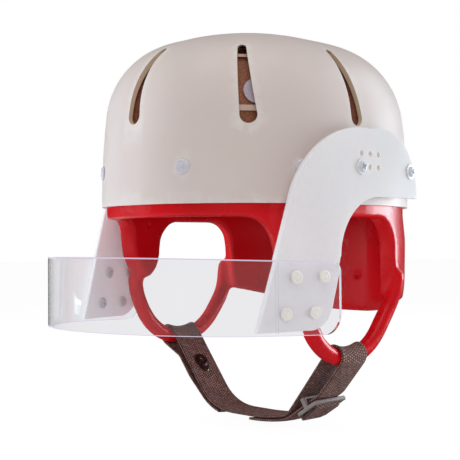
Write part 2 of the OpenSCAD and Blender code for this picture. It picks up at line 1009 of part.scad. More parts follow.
// ring and backing plate on the wearer's side of the snap
module snap_eyelet() {
    face = -web_t / 2 - snap_sink;
    color([0.22, 0.18, 0.17])
        at_web(snap_mid, snap_dir)
            difference() {
                union() {
                    translate([0, 0, face - 1])
                        linear_extrude(1) {
                            circle(eyelet_r);
                            polygon([[-eyelet_r * 0.55, -eyelet_r * 0.8], [-eyelet_r - 3.4, -1.6],
                                [-eyelet_r - 3.4, 1.6], [-eyelet_r * 0.55, eyelet_r * 0.8]]);
                        }
                    translate([0, 0, face - 1])
                        rotate_extrude()
                            translate([eyelet_r - 2.3, 0])
                                circle(0.7, $fn = 24);
                }
                cylinder(r = snap_pin_r + fit, h = 20, center = true);
            }
}

module snap_stud() {
    face = web_t / 2;
    color([0.55, 0.50, 0.46])
        at_web(snap_mid, snap_dir) {
            translate([0, 0, face])
                cylinder(r = snap_base_r, h = 0.8);
            translate([0, 0, face + 0.8])
                cylinder(r = stud_neck_r, h = 0.8);
            translate([0, 0, face + 1.6])
                cylinder(r = stud_r, h = 0.75);
            translate([0, 0, -face - snap_sink - 1.5])
                cylinder(r = snap_pin_r, h = web_t + snap_sink + 1.6);
        }
}

module snap_socket() {
    inner = tab_lift - web_t / 2 - snap_sink;
    color([0.55, 0.50, 0.46])
        at_web(snap_mid, snap_dir)
            difference() {
                translate([0, 0, inner - 2])
                    cylinder(r = snap_base_r, h = 2);
                translate([0, 0, inner - 3])
                    cylinder(r = stud_r + run, h = 2.5);
                cylinder(r = snap_pin_r - 0.3, h = 20);
            }
}

module snap_cap() {
    outer = tab_lift + web_t / 2;
    color([0.30, 0.26, 0.24])
        at_web(snap_mid, snap_dir) {
            translate([0, 0, outer])
                cylinder(r = cap_r, h = 0.9);
            translate([0, 0, outer + 0.9])
                cylinder(r1 = cap_r, r2 = cap_r - 1.8, h = 0.9);
            translate([0, 0, outer - web_t - snap_sink])
                cylinder(r = snap_pin_r, h = web_t + snap_sink + 0.1);
        }
}

// slider: a flat frame with three bars outside, and one bar behind the layers on two short posts
module slider() {
    top = layer_gap + web_t / 2 + 0.4;
    under = -web_t / 2 - 0.4;
    half_w = web_w / 2 + 0.4;
    half_out = half_w + rail_w;
    color([0.45, 0.43, 0.42])
        at_web(slide_mid, slide_dir) {
            translate([0, 0, top])
                linear_extrude(slider_t)
                    difference() {
                        square([slider_l, 2 * half_out], center = true);
                        for (x = [bar_w / 2, -slider_l / 2 + bar_w])
                            translate([x, -half_w])
                                square([slider_l / 2 - 1.5 * bar_w, 2 * half_w]);
                        for (x = [-1, 1])
                            for (y = [-1, 1])
                                scale([x, y])
                                    difference() {
                                        translate([slider_l / 2 - slider_corner,
                                            half_out - slider_corner])
                                            square(slider_corner + 1);
                                        translate([slider_l / 2 - slider_corner,
                                            half_out - slider_corner])
                                            circle(slider_corner);
                                    }
                    }
            for (side = [-1, 1])
                translate([-bar_w / 2, side > 0 ? half_w : -half_out, under - back_t])
                    cube([bar_w, rail_w, top - under + back_t + 0.5]);
            translate([-bar_w / 2, -half_w - 0.1, under - back_t])
                cube([bar_w, 2 * half_w + 0.2, back_t]);
        }
}

// the loose end of the webbing, turned back over the slider
module strap_tail() {
    top = layer_gap + web_t / 2 + 0.4 + slider_t;
    start = -slider_l / 2 + bar_w + 0.3;
    color([0.32, 0.22, 0.18])
        at_web(slide_mid, slide_dir) {
            translate([start, 0, top + 0.02])
                linear_extrude(web_t)
                    polygon([[0, -web_w / 2], [tail_l - 2, -web_w / 2], [tail_l, -web_w / 2 + 4],
                        [tail_l, web_w / 2 - 4], [tail_l - 2, web_w / 2], [0, web_w / 2]]);
            translate([start, -web_w / 2, top - slider_t])
                cube([web_t, web_w, slider_t + 0.1]);
        }
}

outer_shell();
liner();
chin_loop_left();
chin_loop_right();
crown_pad_front_left();
crown_pad_front_right();
crown_pad_rear_left();
crown_pad_rear_right();
crown_pad_top();
tape_ring_lower();
tape_ring_upper();
pad_discs();
rivets();
rivet_washers();
side_plate_left();
side_plate_right();
spacers_left();
spacers_right();
plate_screws_left();
plate_screws_right();
screw_washers_left();
screw_washers_right();
tee_nuts_left();
tee_nuts_right();
face_bar();
bar_posts_left();
bar_posts_right();
post_screws_left();
post_screws_right();
chin_strap();
strap_tab();
snap_eyelet();
snap_stud();
snap_socket();
snap_cap();
slider();
strap_tail();
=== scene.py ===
"""Looks of a hard shell helmet with a clear face bar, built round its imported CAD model.

Meshes are in metres in the CAD model's own frame: the front faces -Y, the wearer's left is +X
and Z is up. Sizes in the classes are in millimetres, if not said otherwise, and scaled by MM.
"""

import json
import logging
import math
from collections.abc import Sequence
from dataclasses import dataclass, field
from enum import Enum

import bmesh
import bpy
import numpy as np
from mathutils import Matrix, Vector

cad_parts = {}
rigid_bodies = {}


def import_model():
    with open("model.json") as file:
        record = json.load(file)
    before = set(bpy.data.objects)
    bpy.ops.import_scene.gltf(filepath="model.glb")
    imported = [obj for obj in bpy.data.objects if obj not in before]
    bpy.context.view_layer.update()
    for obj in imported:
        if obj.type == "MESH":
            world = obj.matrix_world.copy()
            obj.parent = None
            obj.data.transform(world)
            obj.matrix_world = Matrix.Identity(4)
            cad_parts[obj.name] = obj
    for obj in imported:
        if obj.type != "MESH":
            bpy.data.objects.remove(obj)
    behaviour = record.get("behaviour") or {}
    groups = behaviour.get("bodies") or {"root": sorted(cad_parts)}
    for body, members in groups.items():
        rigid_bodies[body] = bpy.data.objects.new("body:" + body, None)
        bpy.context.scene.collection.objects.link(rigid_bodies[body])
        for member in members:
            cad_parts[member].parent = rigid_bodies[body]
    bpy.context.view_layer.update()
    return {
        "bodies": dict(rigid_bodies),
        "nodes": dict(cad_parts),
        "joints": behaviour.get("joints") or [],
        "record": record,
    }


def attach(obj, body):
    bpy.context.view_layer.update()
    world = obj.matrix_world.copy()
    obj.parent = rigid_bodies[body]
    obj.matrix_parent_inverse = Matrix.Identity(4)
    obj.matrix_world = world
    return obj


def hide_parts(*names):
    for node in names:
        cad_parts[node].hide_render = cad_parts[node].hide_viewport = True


MM = 0.001
UP = Vector((0, 0, 1))
MERGE_GAP = 0.000002
DEGENERATE_GAP = 0.000001
log = logging.getLogger("helmet")

Colour = tuple[float, float, float]
Node = bpy.types.Node
Socket = bpy.types.NodeSocket
Piece = bpy.types.Object


class Body(Enum):
    """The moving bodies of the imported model."""

    HELMET = "helmet"
    STRAP = "strap"
    TAB = "tab"
    SLIDER = "slider"


class Drive(Enum):
    """How a fastener is turned, with the number of slots in its head."""

    NONE = 0
    SLOT = 1
    CROSS = 2


# Node trees


def srgb(colour: Colour) -> tuple[float, float, float, float]:
    """Turns a colour of 0 to 255 into linear values with an alpha of 1.

    Args:
        colour: red, green and blue as they look on screen.

    Returns:
        The linear colour that a socket takes.
    """
    line = [c / 255 / 12.92 if c <= 10.3 else ((c / 255 + 0.055) / 1.055) ** 2.4 for c in colour]
    return (line[0], line[1], line[2], 1.0)


class Wiring:
    """Adds nodes and links to one node tree, for shaders and Geometry Nodes alike."""

    def __init__(self, tree: bpy.types.NodeTree) -> None:
        """Keeps the tree that the nodes go into."""
        self.tree = tree

    def feed(self, socket: Socket, value: object) -> None:
        """Links a socket to another one, or sets its value.

        Args:
            socket: the input to fill.
            value: an output socket or a plain value.
        """
        if isinstance(value, bpy.types.NodeSocket):
            self.tree.links.new(value, socket)
        else:
            socket.default_value = value

    def add(self, kind: str, inputs: dict | None = None, **settings: object) -> Node:
        """Adds a node.

        Args:
            kind: the node's type name.
            inputs: socket name or number to value or output socket.
            **settings: the node's own properties.

        Returns:
            The new node.
        """
        node = self.tree.nodes.new(kind)
        for name, value in settings.items():
            setattr(node, name, value)
        for name, value in (inputs or {}).items():
            self.feed(node.inputs[name], value)
        return node

    def math(self, operation: str, a: object, b: object = 0.0, c: object = 0.0) -> Socket:
        """Adds a Math node for two or three values and returns its result."""
        return self.add("ShaderNodeMath", {0: a, 1: b, 2: c}, operation=operation).outputs[0]

    def plus(self, a: object, b: object) -> Socket:
        """Returns a + b."""
        return self.math("ADD", a, b)

    def minus(self, a: object, b: object) -> Socket:
        """Returns a - b."""
        return self.math("SUBTRACT", a, b)

    def times(self, a: object, b: object) -> Socket:
        """Returns a times b."""
        return self.math("MULTIPLY", a, b)

    def ratio(self, a: object, b: object) -> Socket:
        """Returns a divided by b."""
        return self.math("DIVIDE", a, b)

    def ridges(self, a: object) -> Socket:
        """Returns rounded ridges, one for each whole number that a passes."""
        return self.math("ABSOLUTE", self.math("SINE", self.times(a, math.pi)))

    def spread(
        self, value: object, low: object, high: object, to_low: object = 0.0, to_high: object = 1.0
    ) -> Socket:
        """Maps a value from one range to another, held to its ends.

        Args:
            value: the socket to map.
            low: where the source range starts.
            high: where it ends.
            to_low: the result at low.
            to_high: the result at high.

        Returns:
            The output socket.
        """
        ends = {"From Min": low, "From Max": high, "To Min": to_low, "To Max": to_high}
        return self.add("ShaderNodeMapRange", {"Value": value, **ends}).outputs[0]

    def blend(self, factor: object, a: object, b: object) -> Socket:
        """Mixes two colours; the factor is how much of the second one there is."""
        return self.add("ShaderNodeMix", {0: factor, 6: a, 7: b}, data_type="RGBA").outputs[2]

    def noise(
        self, where: object, scale: object, detail: float = 2.0, rough: float = 0.5
    ) -> Socket:
        """Adds a noise texture and returns its value."""
        inputs = {"Vector": where, "Scale": scale, "Detail": detail, "Roughness": rough}
        return self.add("ShaderNodeTexNoise", inputs).outputs["Fac"]

    def where(self) -> Socket:
        """Returns the place in the object's own coordinates."""
        return self.add("ShaderNodeTexCoord").outputs["Object"]

    def split(self, vector: object) -> bpy.types.NodeOutputs:
        """Returns a vector's X, Y and Z outputs."""
        return self.add("ShaderNodeSeparateXYZ", {0: vector}).outputs

    def vector(self, x: object, y: object, z: object) -> Socket:
        """Joins three values to a vector."""
        return self.add("ShaderNodeCombineXYZ", {"X": x, "Y": y, "Z": z}).outputs[0]

    def vectors(self, operation: str, a: object, b: object = (0.0, 0.0, 0.0)) -> Node:
        """Adds a Vector Math node."""
        return self.add("ShaderNodeVectorMath", {0: a, 1: b}, operation=operation)


def new_group(
    name: str, kind: str, inputs: dict[str, object], outputs: dict[str, str]
) -> tuple[Wiring, bpy.types.NodeOutputs, Node]:
    """Starts a node group with named sockets.

    Args:
        name: the group's name.
        kind: the tree type.
        inputs: input name to its default number, or to a socket type.
        outputs: output name to its socket type.

    Returns:
        The wiring, what the group is given, and its output node.
    """
    tree = bpy.data.node_groups.new(name, kind)
    for label, value in inputs.items():
        typed = value if isinstance(value, str) else "NodeSocketFloat"
        socket = tree.interface.new_socket(name=label, in_out="INPUT", socket_type=typed)
        if not isinstance(value, str):
            socket.default_value = value
    for label, typed in outputs.items():
        tree.interface.new_socket(name=label, in_out="OUTPUT", socket_type=typed)
    wiring = Wiring(tree)
    return wiring, wiring.add("NodeGroupInput").outputs, wiring.add("NodeGroupOutput")


class Effects:
    """Shader node groups for the effects that several finishes share, each built once."""

    def __init__(self) -> None:
        """Starts with no group built."""
        self.built: dict[str, bpy.types.NodeTree] = {}

    def use(self, wiring: Wiring, name: str, **values: object) -> bpy.types.NodeOutputs:
        """Places a group in a material, and builds it the first time.

        Args:
            wiring: the material's wiring.
            name: the group's name.
            **values: input names, with _ for a space, to numbers or sockets.

        Returns:
            The group's outputs.
        """
        if name not in self.built:
            self.built[name] = getattr(self, name)()
        node = wiring.add("ShaderNodeGroup", node_tree=self.built[name])
        for key, value in values.items():
            wiring.feed(node.inputs[key.replace("_", " ")], value)
        return node.outputs

    @staticmethod
    def start(name: str, inputs: dict, *outputs: str) -> tuple[Wiring, bpy.types.NodeOutputs, Node]:
        """Starts a shader group whose outputs are all numbers."""
        return new_group(name, "ShaderNodeTree", inputs, dict.fromkeys(outputs, "NodeSocketFloat"))

    def moulded_grain(self) -> bpy.types.NodeTree:
        """Fine and coarse unevenness of a moulded or sprayed surface, with broad patches.

        Returns:
            The group.
        """
        sizes = {"Fine": 1500.0, "Coarse": 220.0, "Patch": 18.0, "Coarse Share": 0.6}
        w, given, out = self.start("moulded_grain", sizes, "Height", "Patches")
        where = w.where()
        fine = w.noise(where, given["Fine"], 3.0, 0.6)
        coarse = w.noise(where, given["Coarse"], 2.0)
        share = given["Coarse Share"]
        height = w.math("MULTIPLY_ADD", coarse, share, w.times(fine, w.minus(1.0, share)))
        w.feed(out.inputs["Height"], height)
        patches = w.noise(where, given["Patch"], 3.0, 0.55)
        w.feed(out.inputs["Patches"], w.spread(patches, 0.32, 0.68))
        return w.tree

    def edge_wear(self) -> bpy.types.NodeTree:
        """A mask of worn outer edges, broken up by noise.

        Returns:
            The group.
        """
        sizes = {"Start": 0.52, "End": 0.62, "Breakup": 400.0}
        w, given, out = self.start("edge_wear", sizes, "Mask")
        point = w.add("ShaderNodeNewGeometry").outputs["Pointiness"]
        edges = w.spread(point, given["Start"], given["End"])
        torn = w.spread(w.noise(w.where(), given["Breakup"], 3.0), 0.3, 0.6, 0.35, 1.0)
        w.feed(out.inputs["Mask"], w.times(edges, torn))
        return w.tree

    def fine_scratches(self) -> bpy.types.NodeTree:
        """Sparse hairlines in two directions.

        Returns:
            The group.
        """
        sizes = {"Scale": 60.0, "Stretch": 14.0, "Cut": 0.70}
        w, given, out = self.start("fine_scratches", sizes, "Mask")
        where = w.where()
        scale = w.vector(1.0, given["Stretch"], given["Stretch"])
        lines = []
        for turn in ((0.3, 0.5, 0.2), (1.1, -0.4, 0.9)):
            turned = w.add("ShaderNodeMapping", {"Vector": where, "Rotation": turn})
            drawn = w.vectors("MULTIPLY", turned.outputs[0], scale)
            value = w.noise(drawn.outputs[0], given["Scale"], 2.0)
            lines.append(w.math("GREATER_THAN", value, given["Cut"]))
        w.feed(out.inputs["Mask"], w.math("MAXIMUM", *lines))
        return w.tree

    def settled_dust(self) -> bpy.types.NodeTree:
        """A patchy mask on faces that look up.

        Returns:
            The group.
        """
        w, given, out = self.start("settled_dust", {"Scale": 90.0, "Amount": 0.3}, "Mask")
        up = w.split(w.add("ShaderNodeNewGeometry").outputs["Normal"])["Z"]
        patches = w.spread(w.noise(w.where(), given["Scale"], 4.0, 0.6), 0.42, 0.62)
        mask = w.times(w.times(w.spread(up, 0.1, 0.9), patches), given["Amount"])
        w.feed(out.inputs["Mask"], mask)
        return w.tree

    def woven_band(self) -> bpy.types.NodeTree:
        """Narrow webbing: cords along the band, bound by threads that cross them in steps.

        Returns:
            The group.
        """
        sizes = {"Cord": 2.0, "Thread": 1.25, "Half Width": 13.0}
        w, given, out = self.start("woven_band", sizes, "Height", "Gap", "Tone")
        along, across = (
            w.times(w.add("ShaderNodeAttribute", attribute_name=name).outputs["Fac"], 1 / MM)
            for name in ("along", "across")
        )
        wander = w.times(w.minus(w.noise(w.where(), 220.0, 2.0), 0.5), 0.8)
        column = w.ratio(w.plus(across, w.times(wander, 0.35)), given["Cord"])
        number = w.math("FLOOR", column)
        cord = w.ridges(column)
        step = w.times(w.math("MODULO", w.math("ABSOLUTE", number), 2.0), 0.5)
        row = w.plus(w.ratio(w.plus(along, wander), given["Thread"]), step)
        thread = w.ridges(row)
        height = w.times(w.math("POWER", cord, 0.45), w.math("POWER", thread, 0.6))
        inside = w.minus(given["Half Width"], 1.3)
        selvedge = w.math("GREATER_THAN", w.math("ABSOLUTE", across), inside)
        bound = w.times(selvedge, w.math("POWER", thread, 0.5))
        w.feed(out.inputs["Height"], w.math("MAXIMUM", height, bound))
        w.feed(out.inputs["Gap"], w.spread(height, 0.78, 0.32))
        cell = w.vector(number, w.math("FLOOR", row), 0.0)
        tone = w.add("ShaderNodeTexWhiteNoise", {"Vector": cell}).outputs["Value"]
        w.feed(out.inputs["Tone"], tone)
        return w.tree


EFFECTS = Effects()


@dataclass(frozen=True)
class Finish:
    """A material: two tones in patches, uneven roughness and a bump. Each kind adds its own.

    grain holds the scales of the fine and coarse unevenness and of the patches, and the coarse
    share; uneven the change of roughness at both ends; bump its strength and depth.
    """

    name: str
    colour: Colour
    second: Colour
    roughness: float
    grain: tuple[float, float, float, float] = (1500.0, 220.0, 18.0, 0.6)
    uneven: tuple[float, float] = (0.0, 0.0)
    bump: tuple[float, float] = (0.1, 0.25)

    def material(self) -> bpy.types.Material:
        """Returns the material, and builds it the first time.

        Returns:
            The material.
        """
        known = bpy.data.materials.get(self.name)
        if known:
            return known
        made = bpy.data.materials.new(self.name)
        made.use_nodes = True
        made.diffuse_color = srgb(self.colour)
        paint = Paint(made.node_tree, self)
        self.dress(paint)
        paint.apply(*self.bump)
        return made

    def dress(self, paint: "Paint") -> None:
        """Adds what this finish has beyond its two tones."""


class Paint:
    """A material while it is built: its base colour, roughness and height so far."""

    def __init__(self, tree: bpy.types.NodeTree, finish: Finish) -> None:
        """Starts with the finish's two tones, roughness and grain.

        Args:
            tree: the material's node tree.
            finish: the finish to start from.
        """
        self.w = Wiring(tree)
        self.shader = tree.nodes["Principled BSDF"]
        fine, coarse, patch, share = finish.grain
        sizes = {"Fine": fine, "Coarse": coarse, "Patch": patch, "Coarse_Share": share}
        grain = EFFECTS.use(self.w, "moulded_grain", **sizes)
        self.patches, self.height = grain["Patches"], grain["Height"]
        self.base = self.w.blend(self.patches, srgb(finish.colour), srgb(finish.second))
        low, high = (finish.roughness + change for change in finish.uneven)
        self.rough = self.w.spread(self.patches, 0.0, 1.0, low, high)

    def over(self, mask: object, colour: Colour) -> None:
        """Lays a colour over the base where the mask is 1."""
        self.base = self.w.blend(mask, self.base, srgb(colour))

    def worn(self, colour: Colour, share: float, **sizes: float) -> None:
        """Wears the outer edges to a colour."""
        wear_mask = EFFECTS.use(self.w, "edge_wear", **sizes)["Mask"]
        self.over(self.w.times(wear_mask, share), colour)

    def scratched(self, amount: float, **sizes: float) -> None:
        """Roughens the surface along hairlines."""
        lines = EFFECTS.use(self.w, "fine_scratches", **sizes)["Mask"]
        self.rough = self.w.plus(self.rough, self.w.times(lines, amount))

    def dusted(self, colour: Colour, **sizes: float) -> Socket:
        """Lays dust on faces that look up.

        Args:
            colour: the dust's colour.
            **sizes: the effect's inputs.

        Returns:
            The dust's mask.
        """
        mask = EFFECTS.use(self.w, "settled_dust", **sizes)["Mask"]
        self.over(mask, colour)
        return mask

    def set(self, **values: object) -> None:
        """Fills the shader's inputs, named with _ for a space."""
        for name, value in values.items():
            self.w.feed(self.shader.inputs[name.replace("_", " ")], value)

    def apply(self, strength: float, depth: float) -> None:
        """Feeds the colour, the roughness and the bump to the shader.

        Args:
            strength: how strong the bump is, from 0 to 1.
            depth: the bump's depth.
        """
        inputs = {"Height": self.height, "Strength": strength, "Distance": depth * MM}
        bump = self.w.add("ShaderNodeBump", inputs)
        self.set(Base_Color=self.base, Roughness=self.rough, Normal=bump.outputs[0])


@dataclass(frozen=True)
class ShellPlastic(Finish):
    """Warm off-white moulded plastic with a faint orange peel, and a tan painted shade on the cut
    walls of its slots.
    """

    name: str = "off_white_shell"
    colour: Colour = (228, 216, 213)
    second: Colour = (223, 210, 205)
    roughness: float = 0.42
    grain: tuple[float, float, float, float] = (1900.0, 420.0, 16.0, 0.6)
    uneven: tuple[float, float] = (-0.04, 0.05)
    bump: tuple[float, float] = (0.10, 0.25)
    dust: Colour = (214, 210, 204)
    cut: Colour = (236, 230, 226)
    # tan painted shade for the cut walls of the slots, which sit in shade
    cut_wall_shade: Colour = (214, 190, 166)
    dome: tuple[float, float, float] = (1.0, 0.62, 0.60)
    slots_from: float = 35.0

    def dress(self, paint: Paint) -> None:
        """Adds dust, paler edges, hairlines and a tan painted shade on the cut faces of the slots.

        Args:
            paint: the material while it is built.
        """
        paint.dusted(self.dust, Scale=70.0, Amount=0.25)
        paint.worn(self.cut, 0.7, Start=0.515, End=0.58, Breakup=260.0)
        # paints the slots' cut walls tan as painted shade
        paint.over(self.sawn(paint.w), self.cut_wall_shade)
        paint.scratched(0.12, Scale=45.0, Stretch=16.0, Cut=0.71)

    def sawn(self, w: Wiring) -> Socket:
        """Finds the cut faces of the slots, which stand square to the dome.

        Args:
            w: the material's wiring.

        Returns:
            A mask that is 1 on them.
        """
        where = w.where()
        slope = w.vectors("MULTIPLY", where, self.dome)
        out = w.vectors("NORMALIZE", slope.outputs[0])
        facing = w.add("ShaderNodeNewGeometry").outputs["True Normal"]
        along = w.vectors("DOT_PRODUCT", out.outputs[0], facing)
        across = w.spread(w.math("ABSOLUTE", along.outputs["Value"]), 0.62, 0.42)
        return w.times(across, w.math("GREATER_THAN", w.split(where)["Z"], self.slots_from * MM))


@dataclass(frozen=True)
class DippedVinyl(Finish):
    """Glossy red vinyl skin over foam, with a slow waviness and small pits."""

    name: str = "red_dipped_vinyl"
    colour: Colour = (226, 14, 28)
    second: Colour = (210, 9, 22)
    roughness: float = 0.22
    grain: tuple[float, float, float, float] = (900.0, 75.0, 26.0, 0.85)
    uneven: tuple[float, float] = (0.0, 0.09)
    bump: tuple[float, float] = (0.35, 0.9)
    dust: Colour = (230, 70, 80)

    def dress(self, paint: Paint) -> None:
        """Adds dust, which is rougher too, and a thin clear coat.

        Args:
            paint: the material while it is built.
        """
        dust = paint.dusted(self.dust, Scale=160.0, Amount=0.16)
        paint.rough = paint.w.plus(paint.rough, dust)
        paint.set(Specular_IOR_Level=0.32, Coat_Weight=0.06, Coat_Roughness=0.14)


@dataclass(frozen=True)
class PadFoam(Finish):
    """Brown closed-cell foam: fine cells, with scuffs of a lighter brown."""

    name: str = "brown_pad_foam"
    colour: Colour = (162, 102, 75)
    second: Colour = (188, 122, 92)
    roughness: float = 0.62
    grain: tuple[float, float, float, float] = (2600.0, 500.0, 40.0, 0.6)
    bump: tuple[float, float] = (0.5, 0.35)
    wall: Colour = (92, 54, 38)
    cells: float = 950.0
    wall_roughness: float = 0.8

    def dress(self, paint: Paint) -> None:
        """Adds cells with dark walls.

        Args:
            paint: the material while it is built.
        """
        w = paint.w
        cells = w.add("ShaderNodeTexVoronoi", {"Vector": w.where(), "Scale": self.cells})
        wall = w.spread(cells.outputs["Distance"], 0.25, 0.6)
        paint.over(w.times(wall, 0.45), self.wall)
        paint.height = w.minus(paint.height, w.times(wall, 0.8))
        paint.rough = w.spread(wall, 0.0, 1.0, self.roughness - 0.08, self.wall_roughness)


@dataclass(frozen=True)
class ClothTape(Finish):
    """Pale cloth tape: a fine plain weave with slightly grubby patches."""

    name: str = "pale_cloth_tape"
    colour: Colour = (224, 196, 180)
    second: Colour = (206, 176, 160)
    roughness: float = 0.7
    grain: tuple[float, float, float, float] = (2400.0, 300.0, 55.0, 0.6)
    bump: tuple[float, float] = (0.5, 0.12)
    gap: Colour = (150, 132, 122)
    pitch: float = 0.55
    ring_radius: float = 75.0

    def dress(self, paint: Paint) -> None:
        """Adds the weave, which follows the height and the turn round the crown.

        Args:
            paint: the material while it is built.
        """
        w = paint.w
        axes = w.split(w.where())
        turn = w.math("ARCTAN2", axes["Y"], axes["X"])
        rows = w.math("SINE", w.times(axes["Z"], math.pi / MM / self.pitch))
        columns = w.math("SINE", w.times(turn, math.pi * self.ring_radius / self.pitch))
        weave = w.math("ABSOLUTE", w.times(rows, columns))
        paint.over(w.spread(weave, 0.5, 0.0, 0.0, 0.35), self.gap)
        paint.height = w.plus(weave, paint.height)
        paint.set(Sheen_Weight=0.15)


@dataclass(frozen=True)
class LoopDisc(Finish):
    """Pale lilac fuzz of a hook and loop disc."""

    name: str = "lilac_loop_disc"
    colour: Colour = (206, 196, 208)
    second: Colour = (170, 156, 172)
    roughness: float = 0.85
    bump: tuple[float, float] = (0.6, 0.4)

    def dress(self, paint: Paint) -> None:
        """Adds tangled loops in place of the patches.

        Args:
            paint: the material while it is built.
        """
        w = paint.w
        paint.height = w.noise(w.where(), 1500.0, 6.0, 0.75)
        tangle = w.spread(paint.height, 0.35, 0.65)
        paint.base = w.blend(tangle, srgb(self.second), srgb(self.colour))
        paint.set(Sheen_Weight=0.3)


@dataclass(frozen=True)
class MilkyPlastic(Finish):
    """Milky sheet plastic that lets some light through, with a faint painted glow all over, painted
    light on its hole walls and painted shade darker towards the rear.
    """

    name: str = "milky_sheet"
    colour: Colour = (241, 238, 240)
    second: Colour = (238, 235, 238)
    roughness: float = 0.42
    grain: tuple[float, float, float, float] = (1200.0, 160.0, 22.0, 0.6)
    uneven: tuple[float, float] = (-0.05, 0.05)
    bump: tuple[float, float] = (0.04, 0.3)
    cut: Colour = (243, 241, 244)
    # painted shade: the sheet is darkened to this tone over rear_span
    rear: Colour = (208, 207, 207)
    rear_span: tuple[float, float] = (-20.0, 58.0)
    through: float = 0.10
    glow: float = 0.64
    depth: float = 4.4
    # painted light on the hole walls: this pale tan, with the glow colour below emitted on them
    hole: Colour = (204, 197, 193)
    painted_hole_glow: Colour = (128, 122, 119)
    # painted glow that the whole sheet emits
    painted_glow: Colour = (58, 59, 61)
    hole_radius: float = 2.1
    holes: tuple[tuple[float, float], ...] = (
        (-7.5, 32.1), (1.0, 32.1), (9.5, 32.1), (1.0, 23.6), (9.5, 23.6),
    )

    def dress(self, paint: Paint) -> None:
        """Adds sawn edges, painted shade towards the rear, painted light on the hole walls,
        hairlines, light from within and a faint painted glow.

        Args:
            paint: the material while it is built.
        """
        w = paint.w
        paint.worn(self.cut, 1.0, Start=0.52, End=0.6, Breakup=300.0)
        # painted shade, darker towards the rear
        front, back = (end * MM for end in self.rear_span)
        paint.over(w.spread(w.split(w.where())["Y"], front, back), self.rear)
        # painted light on the hole walls, as a paler tan and an emitted glow
        painted_hole_walls = self.painted_hole_walls(w)
        paint.over(painted_hole_walls, self.hole)
        paint.scratched(0.1, Scale=38.0, Stretch=20.0, Cut=0.70)
        paint.set(
            # painted glow: a faint one all over and a brighter one on the hole walls
            Emission_Color=w.blend(painted_hole_walls, srgb(self.painted_glow), srgb(self.painted_hole_glow)),
            Emission_Strength=1.0,
            Transmission_Weight=self.through,
            Specular_IOR_Level=0.18,
            IOR=1.46,
            Subsurface_Weight=self.glow,
            Subsurface_Radius=(1.0, 1.0, 1.0),
            Subsurface_Scale=self.depth * MM,
        )

    def painted_hole_walls(self, w: Wiring) -> Socket:
        """Finds the walls of the spare holes, where light is painted on as a paler tan and a glow.

        Args:
            w: the material's wiring.

        Returns:
            A mask that is 1 on them.
        """
        axes = w.split(w.where())
        mask = 0.0
        for y, z in self.holes:
            across, along = w.minus(axes["Y"], y * MM), w.minus(axes["Z"], z * MM)
            far = w.math("SQRT", w.plus(w.math("POWER", across, 2.0), w.math("POWER", along, 2.0)))
            wall = w.spread(far, (self.hole_radius + 0.15) * MM, self.hole_radius * MM)
            mask = w.math("MAXIMUM", mask, wall)
        return mask


@dataclass(frozen=True)
class ClearPlastic(Finish):
    """Clear sheet plastic, with painted highlight lines along its long edges.

    top and low are the heights of the strip's edges at the Y of middle, rise its slope.
    """

    name: str = "clear_sheet"
    colour: Colour = (253, 253, 255)
    second: Colour = (251, 251, 254)
    roughness: float = 0.002
    grain: tuple[float, float, float, float] = (700.0, 60.0, 14.0, 0.9)
    uneven: tuple[float, float] = (0.0, 0.012)
    bump: tuple[float, float] = (0.03, 0.3)
    # painted highlight: the pale line emitted along the long edges, over the dark base below it
    edge: Colour = (184, 174, 190)
    painted_line_base: Colour = (70, 66, 74)
    top: float = -35.3
    low: float = -79.8
    middle: float = -60.0
    rise: float = 0.034
    top_line: float = 0.85
    low_line: float = 0.5
    fade: float = 0.3
    shadow: float = 0.08

    def dress(self, paint: Paint) -> None:
        """Adds hairlines, painted highlight lines over a darkened base along the long edges, and a
        light shadow.

        Args:
            paint: the material while it is built.
        """
        w = paint.w
        paint.scratched(0.05, Scale=30.0, Stretch=22.0, Cut=0.71)
        # painted highlight lines: the edges get a dark base and an emitted pale glow
        sawn = self.edges(w)
        paint.over(sawn, self.painted_line_base)
        path = w.add("ShaderNodeLightPath").outputs
        soft = w.math("MAXIMUM", path["Is Shadow Ray"], path["Is Diffuse Ray"])
        paint.set(
            Emission_Color=w.blend(sawn, srgb((0, 0, 0)), srgb(self.edge)),
            Emission_Strength=1.0,
            Transmission_Weight=1.0,
            IOR=1.49,
            Alpha=w.spread(soft, 0.0, 1.0, 1.0, self.shadow),
        )

    def edges(self, w: Wiring) -> Socket:
        """Finds the strip's two long edges.

        Args:
            w: the material's wiring.

        Returns:
            A mask that is 1 along them.
        """
        axes = w.split(w.where())
        slant = w.times(w.minus(axes["Y"], self.middle * MM), self.rise)
        level = w.times(w.plus(axes["Z"], slant), 1 / MM)
        upper, lower = self.top - self.top_line, self.low + self.low_line
        return w.math(
            "MAXIMUM",
            w.spread(level, upper, upper + self.fade),
            w.spread(level, lower, lower - self.fade),
        )


@dataclass(frozen=True)
class HardPlastic(Finish):
    """Moulded plastic for posts, spacers, thread and the slider."""

    name: str = "white_post_plastic"
    colour: Colour = (252, 248, 243)
    second: Colour = (246, 241, 234)
    roughness: float = 0.35
    grain: tuple[float, float, float, float] = (2200.0, 600.0, 120.0, 0.6)
    uneven: tuple[float, float] = (-0.03, 0.08)
    bump: tuple[float, float] = (0.12, 0.25)
    edge: Colour = (254, 252, 249)

    def dress(self, paint: Paint) -> None:
        """Adds worn edges and scratches."""
        paint.worn(self.edge, 0.6, Start=0.53, End=0.66, Breakup=700.0)
        paint.scratched(0.1, Scale=110.0, Stretch=9.0, Cut=0.68)


